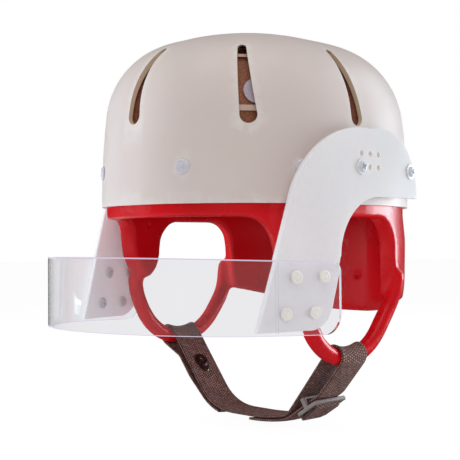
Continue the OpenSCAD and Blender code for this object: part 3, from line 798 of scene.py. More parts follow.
@dataclass(frozen=True)
class Metal(Finish):
    """Plated or blackened metal with fine handling marks."""

    name: str = "plated_steel"
    colour: Colour = (206, 208, 214)
    second: Colour = (168, 170, 178)
    roughness: float = 0.28
    grain: tuple[float, float, float, float] = (3000.0, 900.0, 260.0, 0.6)
    uneven: tuple[float, float] = (0.0, 0.14)
    bump: tuple[float, float] = (0.12, 0.1)
    edge: Colour = (226, 226, 230)
    metallic: float = 1.0

    def dress(self, paint: Paint) -> None:
        """Adds bright edges and scratches.

        Args:
            paint: the material while it is built.
        """
        paint.worn(self.edge, 1.0, Start=0.53, End=0.65, Breakup=900.0)
        paint.scratched(0.12, Scale=240.0, Stretch=7.0, Cut=0.66)
        paint.set(Metallic=self.metallic)


@dataclass(frozen=True)
class BrownWebbing(Finish):
    """Brown polyester webbing: corded, bound across, with a soft sheen."""

    name: str = "brown_webbing"
    colour: Colour = (138, 99, 92)
    second: Colour = (178, 137, 127)
    roughness: float = 0.66
    grain: tuple[float, float, float, float] = (4200.0, 900.0, 60.0, 0.6)
    bump: tuple[float, float] = (0.9, 0.4)
    soiled: Colour = (94, 68, 62)
    gap: Colour = (40, 26, 24)
    gap_roughness: float = 0.85
    cord: float = 2.1
    thread: float = 1.7
    half_width: float = 13.0

    def dress(self, paint: Paint) -> None:
        """Adds the weave's height, dark gaps, thread tones and broad wear.

        Args:
            paint: the material while it is built.
        """
        w = paint.w
        sizes = {"Cord": self.cord, "Thread": self.thread, "Half_Width": self.half_width}
        weave = EFFECTS.use(w, "woven_band", **sizes)
        paint.base = w.blend(weave["Tone"], srgb(self.colour), srgb(self.second))
        paint.over(w.spread(paint.patches, 0.0, 1.0, 0.0, 0.3), self.soiled)
        paint.over(w.times(weave["Gap"], 0.85), self.gap)
        paint.height = w.math("MULTIPLY_ADD", paint.height, 0.2, weave["Height"])
        paint.rough = w.spread(weave["Gap"], 0.0, 1.0, self.roughness, self.gap_roughness)
        paint.set(Specular_IOR_Level=0.25, Sheen_Weight=0.06, Sheen_Roughness=0.5)


SHELL = ShellPlastic()
VINYL = DippedVinyl()
FOAM = PadFoam()
TAPE = ClothTape()
DISC = LoopDisc()
MILKY = MilkyPlastic()
CLEAR = ClearPlastic()
WEBBING = BrownWebbing()
POST = HardPlastic()
SPACER = HardPlastic(
    "beige_spacer_plastic", (206, 192, 178), (192, 176, 162), 0.45, edge=(224, 214, 204)
)
SLIDER_PLASTIC = HardPlastic(
    "grey_brown_slider", (150, 141, 138), (134, 126, 124), 0.22,
    bump=(0.2, 0.25), edge=(172, 165, 162),
)
THREAD = HardPlastic(
    "brown_thread", (96, 68, 60), (78, 54, 48), 0.6, bump=(0.5, 0.25), edge=(120, 90, 80)
)
STEEL = Metal()
RIVET_METAL = Metal(
    "lilac_grey_rivet", (238, 235, 245), (224, 220, 233), 0.36,
    edge=(250, 249, 253), metallic=0.2,
)
DARK_METAL = Metal(
    "blackened_metal", (74, 62, 58), (52, 43, 41), 0.26, edge=(120, 104, 96), metallic=0.7
)
SNAP_METAL = Metal("aged_snap_brass", (150, 136, 122), (112, 98, 88), 0.3, edge=(186, 172, 156))
PALE_METAL = Metal(
    "pale_plated_screw", (230, 232, 238), (214, 216, 225), 0.34,
    edge=(246, 246, 250), metallic=0.1,
)


# Mesh work


def object_from(name: str, points: Sequence, faces: Sequence, edges: Sequence = ()) -> Piece:
    """Makes a mesh object at the origin.

    Args:
        name: the object's name.
        points: vertex positions in metres.
        faces: vertex numbers of each face.
        edges: loose edges, for a line.

    Returns:
        The new object, linked to the scene.
    """
    mesh = bpy.data.meshes.new(name)
    mesh.from_pydata([tuple(map(float, p)) for p in points], list(edges), list(faces))
    mesh.update()
    made = bpy.data.objects.new(name, mesh)
    bpy.context.scene.collection.objects.link(made)
    return made


def settle(piece: Piece) -> Piece:
    """Turns a piece with its modifiers into a plain mesh.

    Args:
        piece: the object to bake.

    Returns:
        The same object, with the evaluated mesh and no modifiers.
    """
    graph = bpy.context.evaluated_depsgraph_get()
    graph.update()
    baked = bpy.data.meshes.new_from_object(
        piece.evaluated_get(graph), preserve_all_data_layers=True, depsgraph=graph
    )
    old = piece.data
    piece.modifiers.clear()
    piece.data = baked
    baked.name = piece.name
    if old.users == 0:
        bpy.data.meshes.remove(old)
    return piece


def merged_copy(frame: dict, nodes: Sequence[str], name: str) -> Piece:
    """Copies CAD nodes into one new mesh with its doubled points merged.

    Args:
        nodes: the CAD nodes to copy.
        name: the new object's name.

    Returns:
        The new object.
    """
    shape = bmesh.new()
    for node in nodes:
        shape.from_mesh(frame["nodes"][node].data)
    bmesh.ops.remove_doubles(shape, verts=shape.verts, dist=MERGE_GAP)
    bmesh.ops.dissolve_degenerate(shape, edges=shape.edges, dist=DEGENERATE_GAP)
    made = object_from(name, [], [])
    shape.to_mesh(made.data)
    shape.free()
    return made


def rows_of(items: bpy.types.bpy_prop_collection, key: str) -> np.ndarray:
    """Reads one vector of every item into an array of rows.

    Args:
        items: a mesh's collection.
        key: the vector's name.

    Returns:
        One row for each item.
    """
    flat = np.zeros(len(items) * 3, np.float32)
    items.foreach_get(key, flat)
    return flat.reshape(-1, 3).astype(float)


def coordinates(mesh: bpy.types.Mesh) -> np.ndarray:
    """Returns a mesh's vertex positions."""
    return rows_of(mesh.vertices, "co")


def normals(mesh: bpy.types.Mesh) -> np.ndarray:
    """Returns a mesh's vertex normals."""
    return rows_of(mesh.vertex_normals, "vector")


def place(mesh: bpy.types.Mesh, points: np.ndarray) -> None:
    """Writes vertex positions back to a mesh."""
    mesh.vertices.foreach_set("co", points.astype(np.float32).ravel())
    mesh.update()


def modify(piece: Piece, kind: str, **settings: object) -> bpy.types.Modifier:
    """Adds a modifier to a piece.

    Args:
        piece: the object.
        kind: the modifier's type.
        **settings: its properties.

    Returns:
        The modifier.
    """
    added = piece.modifiers.new(kind.lower(), kind)
    for name, value in settings.items():
        setattr(added, name, value)
    return added


def remesh(piece: Piece, voxel: float) -> Piece:
    """Rebuilds a closed piece from cubes of that size."""
    modify(piece, "REMESH", mode="VOXEL", voxel_size=voxel * MM, use_smooth_shade=True)
    return settle(piece)


def swell(piece: Piece, amount: float) -> None:
    """Moves a piece's surface outwards by an amount."""
    place(piece.data, coordinates(piece.data) + normals(piece.data) * amount * MM)


def relax(piece: Piece, factor: float, times: int) -> Piece:
    """Smooths a piece's points towards their neighbours."""
    modify(piece, "SMOOTH", factor=factor, iterations=times)
    return settle(piece)


def face_out(mesh: bpy.types.Mesh) -> None:
    """Merges a closed mesh's doubled points and turns its faces outwards.

    Args:
        mesh: the mesh to change.
    """
    shape = bmesh.new()
    shape.from_mesh(mesh)
    bmesh.ops.remove_doubles(shape, verts=shape.verts, dist=MERGE_GAP)
    bmesh.ops.recalc_face_normals(shape, faces=shape.faces)
    shape.to_mesh(mesh)
    shape.free()


def smooth_shaded(piece: Piece, angle: float) -> None:
    """Shades a piece smooth, with edges sharper than an angle in degrees kept."""
    piece.data.shade_smooth()
    piece.data.set_sharp_from_angle(angle=math.radians(angle))


def wear(piece: Piece, finish: Finish) -> None:
    """Gives a whole piece one finish."""
    piece.data.materials.clear()
    piece.data.materials.append(finish.material())


def repaint(frame: dict, finish: Finish, *nodes: str) -> None:
    """Gives CAD nodes one finish through their objects' material slots.

    Args:
        finish: the finish.
        *nodes: the CAD nodes.
    """
    for name in nodes:
        for slot in frame["nodes"][name].material_slots:
            slot.link = "OBJECT"
            slot.material = finish.material()
        log.info("%s: the CAD shape in %s", name, finish.name)


def hand_over(piece: Piece, body: Body, nodes: Sequence[str] = ()) -> None:
    """Lets a piece ride on its body and stand for its CAD nodes.

    Args:
        piece: the finished piece.
        body: the body that carries it.
        nodes: the CAD nodes that it replaces.
    """
    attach(piece, body.value)
    if nodes:
        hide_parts(*nodes)
    log.info("%s: %d faces on %s", piece.name, len(piece.data.polygons), body.value)


# Geometry Nodes


def new_tree(
    name: str, inputs: dict[str, object]
) -> tuple[Wiring, bpy.types.NodeOutputs, Node]:
    """Starts a Geometry Nodes tree with a geometry input, named sizes and a material.

    Args:
        name: the tree's name.
        inputs: input name to its default number.

    Returns:
        The wiring, what the tree is given, and its output node.
    """
    sockets = {"Geometry": "NodeSocketGeometry", **inputs, "Material": "NodeSocketMaterial"}
    return new_group(name, "GeometryNodeTree", sockets, {"Geometry": "NodeSocketGeometry"})


def end_tree(w: Wiring, given: bpy.types.NodeOutputs, out: Node, shape: object) -> None:
    """Ends a tree in Realize Instances and Set Material.

    Args:
        w: the tree's wiring.
        given: what the tree is given.
        out: the tree's output node.
        shape: the geometry's socket.
    """
    real = w.add("GeometryNodeRealizeInstances", {"Geometry": shape}).outputs[0]
    inputs = {"Geometry": real, "Material": given["Material"]}
    w.feed(out.inputs["Geometry"], w.add("GeometryNodeSetMaterial", inputs).outputs[0])


def run_tree(piece: Piece, tree: bpy.types.NodeTree, values: dict[str, object]) -> Piece:
    """Puts a tree on a piece, sets its inputs by identifier and bakes it.

    Args:
        piece: the object that carries the points or the line.
        tree: the Geometry Nodes tree.
        values: input name to value.

    Returns:
        The piece as a plain mesh.
    """
    modifier = piece.modifiers.new("nodes", "NODES")
    modifier.node_group = tree
    for item in tree.interface.items_tree:
        if item.item_type == "SOCKET" and item.in_out == "INPUT" and item.name in values:
            modifier[item.identifier] = values[item.name]
    piece.update_tag()
    return settle(piece)


def on_points(w: Wiring, points: Socket, part: Socket) -> Socket:
    """Puts a part on each point, Z along facing and X along lie.

    Args:
        w: the tree's wiring.
        points: the points' geometry.
        part: the part's geometry.

    Returns:
        The instances.
    """
    facing, lie = (
        w.add("GeometryNodeInputNamedAttribute", {"Name": name}, data_type="FLOAT_VECTOR")
        for name in ("facing", "lie")
    )
    kind = "FunctionNodeAlignRotationToVector"
    up = w.add(kind, {"Vector": facing.outputs[0]}, axis="Z")
    inputs = {"Rotation": up.outputs[0], "Vector": lie.outputs[0]}
    turned = w.add(kind, inputs, axis="X", pivot_axis="Z")
    inputs = {"Points": points, "Instance": part, "Rotation": turned.outputs[0]}
    return w.add("GeometryNodeInstanceOnPoints", inputs).outputs[0]


@dataclass(frozen=True)
class Head:
    """A fastener: its turned head, shank and drive.

    shank is a radius and a length; ring, pressed into the face, a radius, depth and width;
    slot a width, depth and length; sharp the angle in degrees of edges that stay sharp.
    """

    radius: float
    height: float
    squareness: float
    shank: tuple[float, float]
    ring: tuple[float, float, float] = (2.0, 0.0, 0.4)
    slot: tuple[float, float, float] = (0.8, 1.0, 4.0)
    drive: Drive = Drive.NONE
    sharp: float = 30.0

    def inputs(self) -> dict[str, float]:
        """Names the sizes as the tree's inputs, in metres.

        Returns:
            Input name to value.
        """
        sizes = {
            "Head Radius": self.radius,
            "Head Height": self.height,
            "Ring Radius": self.ring[0],
            "Ring Depth": self.ring[1],
            "Ring Width": self.ring[2],
            "Shank Radius": self.shank[0],
            "Shank Length": self.shank[1],
            "Slot Width": self.slot[0],
            "Slot Depth": self.slot[1],
            "Slot Length": self.slot[2],
        }
        metres = {name: size * MM for name, size in sizes.items()}
        return {"Squareness": self.squareness, **metres}


class FastenerTree:
    """A turned head on a shank, put on every point that has a facing and a lie attribute."""

    SIDES = 48
    RINGS = 28
    SHANK_SIDES = 20
    TOP_SHARE = 0.82
    RIM = 0.9999
    SHANK_DROP = -0.498

    def __init__(self, head: Head) -> None:
        """Builds the tree.

        Args:
            head: the fastener whose sizes and drive it has.
        """
        w, given, out = new_tree(f"fastener_{head.drive.name.lower()}", head.inputs())
        self.w, self.given = w, given
        top = self.head()
        for turn in (0.0, math.pi / 2)[: head.drive.value]:
            top = self.cut(top, turn)
        length = given["Shank Length"]
        inputs = {"Vertices": self.SHANK_SIDES, "Radius": given["Shank Radius"], "Depth": length}
        shank = w.add("GeometryNodeMeshCylinder", inputs).outputs["Mesh"]
        drop = w.vector(0.0, 0.0, w.times(length, self.SHANK_DROP))
        moved = w.add("GeometryNodeTransform", {"Geometry": shank, "Translation": drop})
        both = w.add("GeometryNodeJoinGeometry")
        w.feed(both.inputs[0], moved.outputs[0])
        w.feed(both.inputs[0], top)
        end_tree(w, given, out, on_points(w, given["Geometry"], both.outputs[0]))
        self.tree = w.tree

    def head(self) -> Socket:
        """Turns a flat grid into a closed head with a ring pressed into its face.

        Returns:
            The head's geometry.
        """
        w, given = self.w, self.given
        counts = {"Vertices X": self.SIDES + 1, "Vertices Y": self.RINGS + 1}
        grid = w.add("GeometryNodeMeshGrid", {"Size X": 1.0, "Size Y": 1.0, **counts})
        axes = w.split(w.add("GeometryNodeInputPosition").outputs[0])
        turn = w.times(w.plus(axes["X"], 0.5), 2 * math.pi)
        way = w.plus(axes["Y"], 0.5)
        top = w.math("MINIMUM", w.ratio(way, self.TOP_SHARE), 1.0)
        past = w.ratio(w.minus(way, self.TOP_SHARE), 1 - self.TOP_SHARE)
        under = w.math("MAXIMUM", past, 0.0)
        reach = w.math("SINE", w.times(top, math.pi / 2))
        radius = w.times(given["Head Radius"], reach)
        out_to = w.times(radius, w.minus(1.0, under))
        power = given["Squareness"]
        full = w.math("MAXIMUM", w.minus(1.0, w.math("POWER", reach, power)), 0.0)
        rise = w.times(given["Head Height"], w.math("POWER", full, w.ratio(1.0, power)))
        off = w.ratio(w.minus(radius, given["Ring Radius"]), given["Ring Width"])
        groove = w.math("EXPONENT", w.times(w.times(off, off), -1.0))
        rise = w.minus(rise, w.times(groove, given["Ring Depth"]))
        rise = w.times(rise, w.math("LESS_THAN", top, self.RIM))
        x, y = (w.times(out_to, w.math(way_round, turn)) for way_round in ("COSINE", "SINE"))
        inputs = {"Geometry": grid.outputs["Mesh"], "Position": w.vector(x, y, rise)}
        shaped = w.add("GeometryNodeSetPosition", inputs).outputs[0]
        inputs = {"Geometry": shaped, "Distance": 2 * MERGE_GAP}
        return w.add("GeometryNodeMergeByDistance", inputs).outputs[0]

    def cut(self, head: Socket, turn: float) -> Socket:
        """Cuts a slot into the head.

        Args:
            head: the head's geometry.
            turn: the slot's turn about the head's axis.

        Returns:
            The head with the slot.
        """
        w, given = self.w, self.given
        depth = w.times(given["Slot Depth"], 2.0)
        size = w.vector(given["Slot Length"], given["Slot Width"], depth)
        bar = w.add("GeometryNodeMeshCube", {"Size": size}).outputs["Mesh"]
        lift = w.vector(0.0, 0.0, given["Head Height"])
        inputs = {"Geometry": bar, "Translation": lift, "Rotation": (0.0, 0.0, turn)}
        moved = w.add("GeometryNodeTransform", inputs)
        boolean = w.add("GeometryNodeMeshBoolean", operation="DIFFERENCE", solver="EXACT")
        w.feed(boolean.inputs["Mesh 1"], head)
        w.feed(boolean.inputs["Mesh 2"], moved.outputs[0])
        return boolean.outputs["Mesh"]


@dataclass
class Seat:
    """One place for a part: where it is, where it faces and how it lies."""

    at: Vector
    facing: Vector
    lie: Vector

    def turn(self, degrees: float) -> None:
        """Turns the part about its own axis, as a hand would leave a screw."""
        angle = math.radians(degrees)
        self.lie = UP * math.cos(angle) + self.facing.cross(UP) * math.sin(angle)


def seats_object(name: str, seats: Sequence[Seat]) -> Piece:
    """Makes a mesh of points that carry a facing and a lie.

    Args:
        name: the object's name.
        seats: the places.

    Returns:
        The points as an object.
    """
    made = object_from(name, [tuple(s.at * MM) for s in seats], [])
    for label in ("facing", "lie"):
        attribute = made.data.attributes.new(label, "FLOAT_VECTOR", "POINT")
        flat = [float(c) for seat in seats for c in getattr(seat, label)]
        attribute.data.foreach_set("vector", flat)
    return made


def fasten(
    name: str, seats: Sequence[Seat], head: Head, finish: Finish, nodes: Sequence[str]
) -> None:
    """Puts a fastener on every seat, as one piece of the helmet.

    Args:
        name: the piece's name.
        seats: the places.
        head: the fastener.
        finish: its material.
        nodes: the CAD nodes that the piece replaces.
    """
    values = {**head.inputs(), "Material": finish.material()}
    made = run_tree(seats_object(name, seats), FastenerTree(head).tree, values)
    face_out(made.data)
    smooth_shaded(made, head.sharp)
    hand_over(made, Body.HELMET, nodes)


class BandTree:
    """Webbing along a line: a rounded flat section swept along it, arched as CAD arches it."""

    CORNER_STEPS = 4
    CORNER_SHARE = 0.46
    SECTION_POINTS = 96
    RIPPLE_SCALE = 90.0

    def __init__(self) -> None:
        """Builds the tree."""
        sizes = {"Width": 0.028, "Thickness": 0.0018, "Step": 0.0012, "Arch": 1.0, "Ripple": 0.0001}
        w, given, out = new_tree("webbing_band", sizes)
        line = w.add("GeometryNodeMeshToCurve", {"Mesh": given["Geometry"]}).outputs[0]
        inputs = {"Curve": line, "Length": given["Step"]}
        even = w.add("GeometryNodeResampleCurve", inputs, mode="LENGTH").outputs[0]
        along = w.add("GeometryNodeSplineParameter").outputs["Length"]
        rail = self.store(w, even, "along", along)
        inputs = {"Width": given["Width"], "Height": given["Thickness"]}
        flat = w.add("GeometryNodeCurvePrimitiveQuadrilateral", inputs, mode="RECTANGLE")
        corner = w.times(given["Thickness"], self.CORNER_SHARE)
        inputs = {"Curve": flat.outputs[0], "Count": self.CORNER_STEPS, "Radius": corner}
        soft = w.add("GeometryNodeFilletCurve", inputs, mode="POLY").outputs[0]
        inputs = {"Curve": soft, "Count": self.SECTION_POINTS}
        fine = w.add("GeometryNodeResampleCurve", inputs, mode="COUNT").outputs[0]
        across = w.split(w.add("GeometryNodeInputPosition").outputs[0])["X"]
        section = self.store(w, fine, "across", across)
        inputs = {"Curve": rail, "Profile Curve": section, "Fill Caps": True}
        swept = w.add("GeometryNodeCurveToMesh", inputs).outputs[0]
        inputs = {"Geometry": swept, "Position": self.arch(w, given)}
        arched = w.add("GeometryNodeSetPosition", inputs).outputs[0]
        inputs = {"Geometry": arched, "Shade Smooth": True}
        end_tree(w, given, out, w.add("GeometryNodeSetShadeSmooth", inputs).outputs[0])
        self.tree = w.tree

    @staticmethod
    def store(w: Wiring, curve: Socket, name: str, value: Socket) -> Socket:
        """Stores a number on a curve's points under a name.

        Args:
            w: the tree's wiring.
            curve: the curve's geometry.
            name: the attribute's name.
            value: the number at each point.

        Returns:
            The curve with the attribute.
        """
        inputs = {"Geometry": curve, "Name": name, "Value": value}
        kind = "GeometryNodeStoreNamedAttribute"
        return w.add(kind, inputs, data_type="FLOAT", domain="POINT").outputs[0]

    def arch(self, w: Wiring, given: bpy.types.NodeOutputs) -> Socket:
        """Bends the width round the strap's own X axis, and ripples it a little.

        Args:
            w: the tree's wiring.
            given: what the tree is given.

        Returns:
            The new position.
        """
        spot = w.add("GeometryNodeInputPosition").outputs[0]
        axes = w.split(spot)
        side, hang = axes["Y"], w.times(axes["Z"], -1.0)
        under = w.minus(w.times(hang, hang), w.times(side, side))
        round_it = w.math("SQRT", w.math("MAXIMUM", under, 0.0))
        share = given["Arch"]
        drop = w.plus(w.times(round_it, share), w.times(hang, w.minus(1.0, share)))
        wave = w.minus(w.noise(spot, self.RIPPLE_SCALE, 1.0), 0.5)
        drop = w.plus(drop, w.times(wave, given["Ripple"]))
        return w.vector(axes["X"], side, w.times(drop, -1.0))


class StitchTree:
    """Short rounded stitches, one on every point."""

    def __init__(self) -> None:
        """Builds the tree."""
        w, given, out = new_tree("stitches", {"Length": 0.002, "Radius": 0.0003})
        ball = w.add("GeometryNodeMeshUVSphere", {"Segments": 8, "Rings": 6, "Radius": 1.0})
        radius = given["Radius"]
        size = w.vector(w.times(given["Length"], 0.5), radius, radius)
        inputs = {"Geometry": ball.outputs["Mesh"], "Scale": size}
        stitch = w.add("GeometryNodeTransform", inputs).outputs[0]
        end_tree(w, given, out, on_points(w, given["Geometry"], stitch))
        self.tree = w.tree


# The helmet


@dataclass
class Layout:
    """Places on the helmet, from the sizes of the CAD source."""

    half_width: float = 90.5
    half_length: float = 115.5
    square_by: float = 8.0
    side_radius: float = 536.0
    rim_radius: float = 102.0
    side_height: float = 1.7
    bend_radius: float = 381.0
    bend_x: float = 95.2 - 381.0
    plate: float = 3.0

    def ring(self, turn: float, height: float, out: float) -> Seat:
        """A place on the shell's outer face.

        Args:
            turn: degrees from the front towards the wearer's left.
            height: height above the rim.
            out: how far off the face.

        Returns:
            The seat, facing out.
        """
        t = math.radians(turn)
        side = math.sqrt(self.side_radius**2 - (height - self.side_height) ** 2)
        share = (self.rim_radius - self.side_radius + side) / self.rim_radius
        wide, long = self.half_width - self.square_by, self.half_length - self.square_by
        x = math.copysign(self.square_by, math.sin(t)) + wide * share * math.sin(t)
        y = -math.copysign(self.square_by, math.cos(t)) - long * share * math.cos(t)
        angle = math.atan2(math.cos(t) / long, math.sin(t) / wide)
        facing = Vector((math.cos(angle), -math.sin(angle), 0.0))
        return Seat(Vector((x, y, height)) + facing * out, facing, UP)

    def plate_spot(self, side: int, y: float, z: float, out: float) -> Seat:
        """A place on a side plate.

        Args:
            side: 1 for the wearer's left, -1 for the right.
            y: distance along Y.
            z: height above the rim.
            out: distance outwards from the plate's inner face.

        Returns:
            The seat, facing out.
        """
        a = math.asin(y / self.bend_radius)
        facing = Vector((math.cos(a), math.sin(a), 0.0))
        at = Vector((self.bend_x, 0, z)) + facing * (self.bend_radius + out)
        if side < 0:
            at.x, facing.x = -at.x, -facing.x
        return Seat(at, facing, UP)


@dataclass
class Shell:
    """The outer shell, which keeps its CAD shape."""

    node: str = "outer_shell"

    def build(self, frame: dict) -> None:
        """Dresses the shell."""
        repaint(frame, SHELL, self.node)


@dataclass
class Dent:
    """A small dimple in the liner: its place, radius and depth."""

    at: tuple[float, float, float]
    radius: float
    depth: float


@dataclass
class DippedLiner:
    """The foam liner with its chin loops, dipped as one piece."""

    voxel: float = 1.2
    quick_voxel: float = 2.4
    fill_in: float = 1.6
    smooth_factor: float = 0.5
    fill_smooths: int = 3
    last_smooths: int = 5
    bulge: float = 2.4
    bulge_side: float = 60.0
    bulge_span: tuple[float, float] = (-74.0, -2.0)
    bulge_fade: float = 24.0
    dents: list[Dent] = field(
        default_factory=lambda: [
            Dent((8.0, 99.2, -49.0), 4.2, 2.0),
            *(Dent((side * 70.2, -42.5, -11.0), 2.8, 1.2) for side in (-1, 1)),
            *(Dent((side * 69.9, -42.3, -31.0), 3.2, 1.3) for side in (-1, 1)),
        ]
    )

    def build(self, frame: dict) -> None:
        """Joins the CAD liner and loops under one smooth skin.
        """
        nodes = ("liner", "chin_loop_left", "chin_loop_right")
        made = merged_copy(frame, nodes, "dipped_liner")
        self.spring(made)
        voxel = self.voxel
        remesh(made, voxel)
        swell(made, self.fill_in)
        remesh(made, voxel)
        relax(made, self.smooth_factor, self.fill_smooths)
        swell(made, -self.fill_in)
        remesh(made, voxel)
        relax(made, self.smooth_factor, self.last_smooths)
        for dent in self.dents:
            self.press(made, dent)
        made.data.shade_smooth()
        wear(made, VINYL)
        hand_over(made, Body.HELMET, nodes)

    def spring(self, piece: Piece) -> None:
        """Lets the soft sides stand out a little below the rim, as on a dipped liner.

        Args:
            piece: the liner's joined copy.
        """
        modify(piece, "REMESH", mode="VOXEL", voxel_size=self.voxel * MM)
        settle(piece)
        points = coordinates(piece.data)
        low, high = (end * MM for end in self.bulge_span)
        fade = self.bulge_fade * MM
        share = np.clip((high - points[:, 2]) / fade, 0, 1)
        share = share * np.clip((points[:, 2] - low) / fade, 0, 1)
        share = share * share * (3 - 2 * share)
        side = np.clip(np.abs(points[:, 0]) / (self.bulge_side * MM), 0, 1)
        points[:, 0] += np.sign(points[:, 0]) * self.bulge * MM * share * side
        place(piece.data, points)

    @staticmethod
    def press(piece: Piece, dent: Dent) -> None:
        """Presses a dimple into the nearest surface.

        Args:
            piece: the liner.
            dent: where and how deep.
        """
        points, out = coordinates(piece.data), normals(piece.data)
        gap = np.linalg.norm(points - np.array(dent.at) * MM, axis=1) / (dent.radius * MM)
        share = np.clip(1 - gap**2, 0, 1) ** 2
        place(piece.data, points - out * (share * dent.depth * MM)[:, None])


@dataclass
class CrownPads:
    """Five foam pads, their tape rings and the discs stuck on them."""

    voxel: float = 3.0
    pressure: float = 3.0
    shrink: float = 0.9
    cap: float = 0.8
    steps: int = 16
    cloth_quality: int = 4
    smooth_factor: float = 0.5
    first_smooths: int = 4
    last_smooths: int = 3

    def build(self, frame: dict) -> None:
        """Makes every pad and dresses the tape and discs.
        """
        for place_name in ("front_left", "front_right", "rear_left", "rear_right", "top"):
            self.pad(frame, f"crown_pad_{place_name}", f"foam_{place_name}")
        repaint(frame, TAPE, "tape_ring_lower", "tape_ring_upper")
        repaint(frame, DISC, "pad_discs")

    def pad(self, frame: dict, node: str, name: str) -> None:
        """Remeshes one pad, puffs it a little with cloth and rounds its edges.

        Args:
            node: the CAD node.
            name: the new piece's name.
        """
        made = merged_copy(frame, [node], name)
        remesh(made, self.voxel)
        relax(made, self.smooth_factor, self.first_smooths)
        swell(made, -self.shrink)
        self.puff(made)
        modify(made, "SUBSURF", levels=1, render_levels=1)
        settle(made)
        relax(made, self.smooth_factor, self.last_smooths)
        made.data.shade_smooth()
        wear(made, FOAM)
        hand_over(made, Body.HELMET, [node])

    def puff(self, piece: Piece) -> None:
        """Blows the pad up by cloth pressure, with each point's travel capped.

        Args:
            piece: the pad.
        """
        rest = coordinates(piece.data)
        cloth = modify(piece, "CLOTH").settings
        cloth.use_pressure = True
        cloth.uniform_pressure_force = self.pressure
        cloth.effector_weights.gravity = 0.0
        cloth.quality = self.cloth_quality
        scene = bpy.context.scene
        for frame_number in range(1, self.steps + 1):
            scene.frame_set(frame_number)
        settle(piece)
        scene.frame_set(1)
        moved = coordinates(piece.data) - rest
        far = np.linalg.norm(moved, axis=1, keepdims=True)
        limit = np.minimum(1.0, self.cap * MM / np.maximum(far, 1e-9))
        place(piece.data, rest + moved * limit)


@dataclass
class Rivets:
    """Six rivets round the shell, with their washers inside."""

    turns: tuple[float, ...] = (22.5, 67.5, 157.5, 202.5, 292.5, 337.5)
    height: float = 22.3
    lift: float = 0.18
    head: Head = Head(4.6, 1.5, 2.6, (2.0, 17.2), ring=(2.9, 0.28, 0.45), sharp=35.0)

    def build(self, frame: dict, layout: Layout) -> None:
        """Puts a turned head on each rivet's place and dresses the washers.

        Args:
            layout: the helmet's places.
        """
        seats = [layout.ring(turn, self.height, self.lift) for turn in self.turns]
        fasten("rivet_heads", seats, self.head, RIVET_METAL, ["rivets"])
        repaint(frame, STEEL, "rivet_washers")


@dataclass
class SidePlates:
    """The milky plates, their screws, washers and spacers."""

    screws: tuple[tuple[float, float], ...] = ((-7.5, 23.6), (47.5, 22.8))
    washer: float = 0.8
    first_turn: float = 28.0
    next_turn: float = 37.0
    head: Head = Head(3.5, 1.45, 2.8, (1.7, 27.0), slot=(1.2, 1.2, 4.6), drive=Drive.CROSS)

    def build(self, frame: dict, layout: Layout) -> None:
        """Dresses the plates and makes their cross-slotted screws.

        Args:
            layout: the helmet's places.
        """
        dressed = {
            "side_plate": MILKY, "spacers": SPACER, "screw_washers": PALE_METAL, "tee_nuts": STEEL
        }
        for kind, finish in dressed.items():
            repaint(frame, finish, f"{kind}_left", f"{kind}_right")
        seats = []
        for side in (1, -1):
            for number, (y, z) in enumerate(self.screws):
                seat = layout.plate_spot(side, y, z, layout.plate + self.washer)
                seat.turn(self.first_turn + self.next_turn * number)
                seats.append(seat)
        nodes = ["plate_screws_left", "plate_screws_right"]
        fasten("cross_screws", seats, self.head, PALE_METAL, nodes)


@dataclass
class FaceBar:
    """The clear bar, its white posts and the slotted screws inside them."""

    first: tuple[float, float] = (-66.0, -45.0)
    step: float = 21.2
    drop: float = 21.6
    lean: float = 0.34
    gap: float = 0.08
    thick: float = 3.0
    inner_gap: float = 0.05
    first_turn: float = 20.0
    next_turn: float = 47.0
    post: Head = Head(3.9, 1.6, 7.0, (2.6, 6.0), ring=(2.0, 0.22, 0.32), sharp=40.0)
    screw: Head = Head(3.8, 1.4, 3.2, (1.5, 5.2), slot=(1.5, 1.0, 3.2), drive=Drive.SLOT)

    def seats(self, layout: Layout, out: float, inward: bool) -> list[Seat]:
        """The eight post places.

        Args:
            layout: the helmet's places.
            out: distance outwards from the plates' inner faces.
            inward: whether the part faces the wearer.

        Returns:
            The seats.
        """
        made = []
        for side in (1, -1):
            for number in range(4):
                row, column = divmod(number, 2)
                y = self.first[0] + column * self.step - row * self.drop * self.lean
                seat = layout.plate_spot(side, y, self.first[1] - row * self.drop, out)
                seat.turn(self.first_turn + self.next_turn * number)
                if inward:
                    seat.facing = -seat.facing
                made.append(seat)
        return made

    def build(self, frame: dict, layout: Layout) -> None:
        """Dresses the bar and makes its posts and screws.

        Args:
            layout: the helmet's places.
        """
        repaint(frame, CLEAR, "face_bar")
        outside = self.seats(layout, layout.plate + self.gap + self.thick, False)
        nodes = ["bar_posts_left", "bar_posts_right"]
        fasten("clamp_posts", outside, self.post, POST, nodes)
        inside = self.seats(layout, -self.inner_gap, True)
        nodes = ["post_screws_left", "post_screws_right"]
        fasten("slotted_screws", inside, self.screw, PALE_METAL, nodes)


# The chin strap


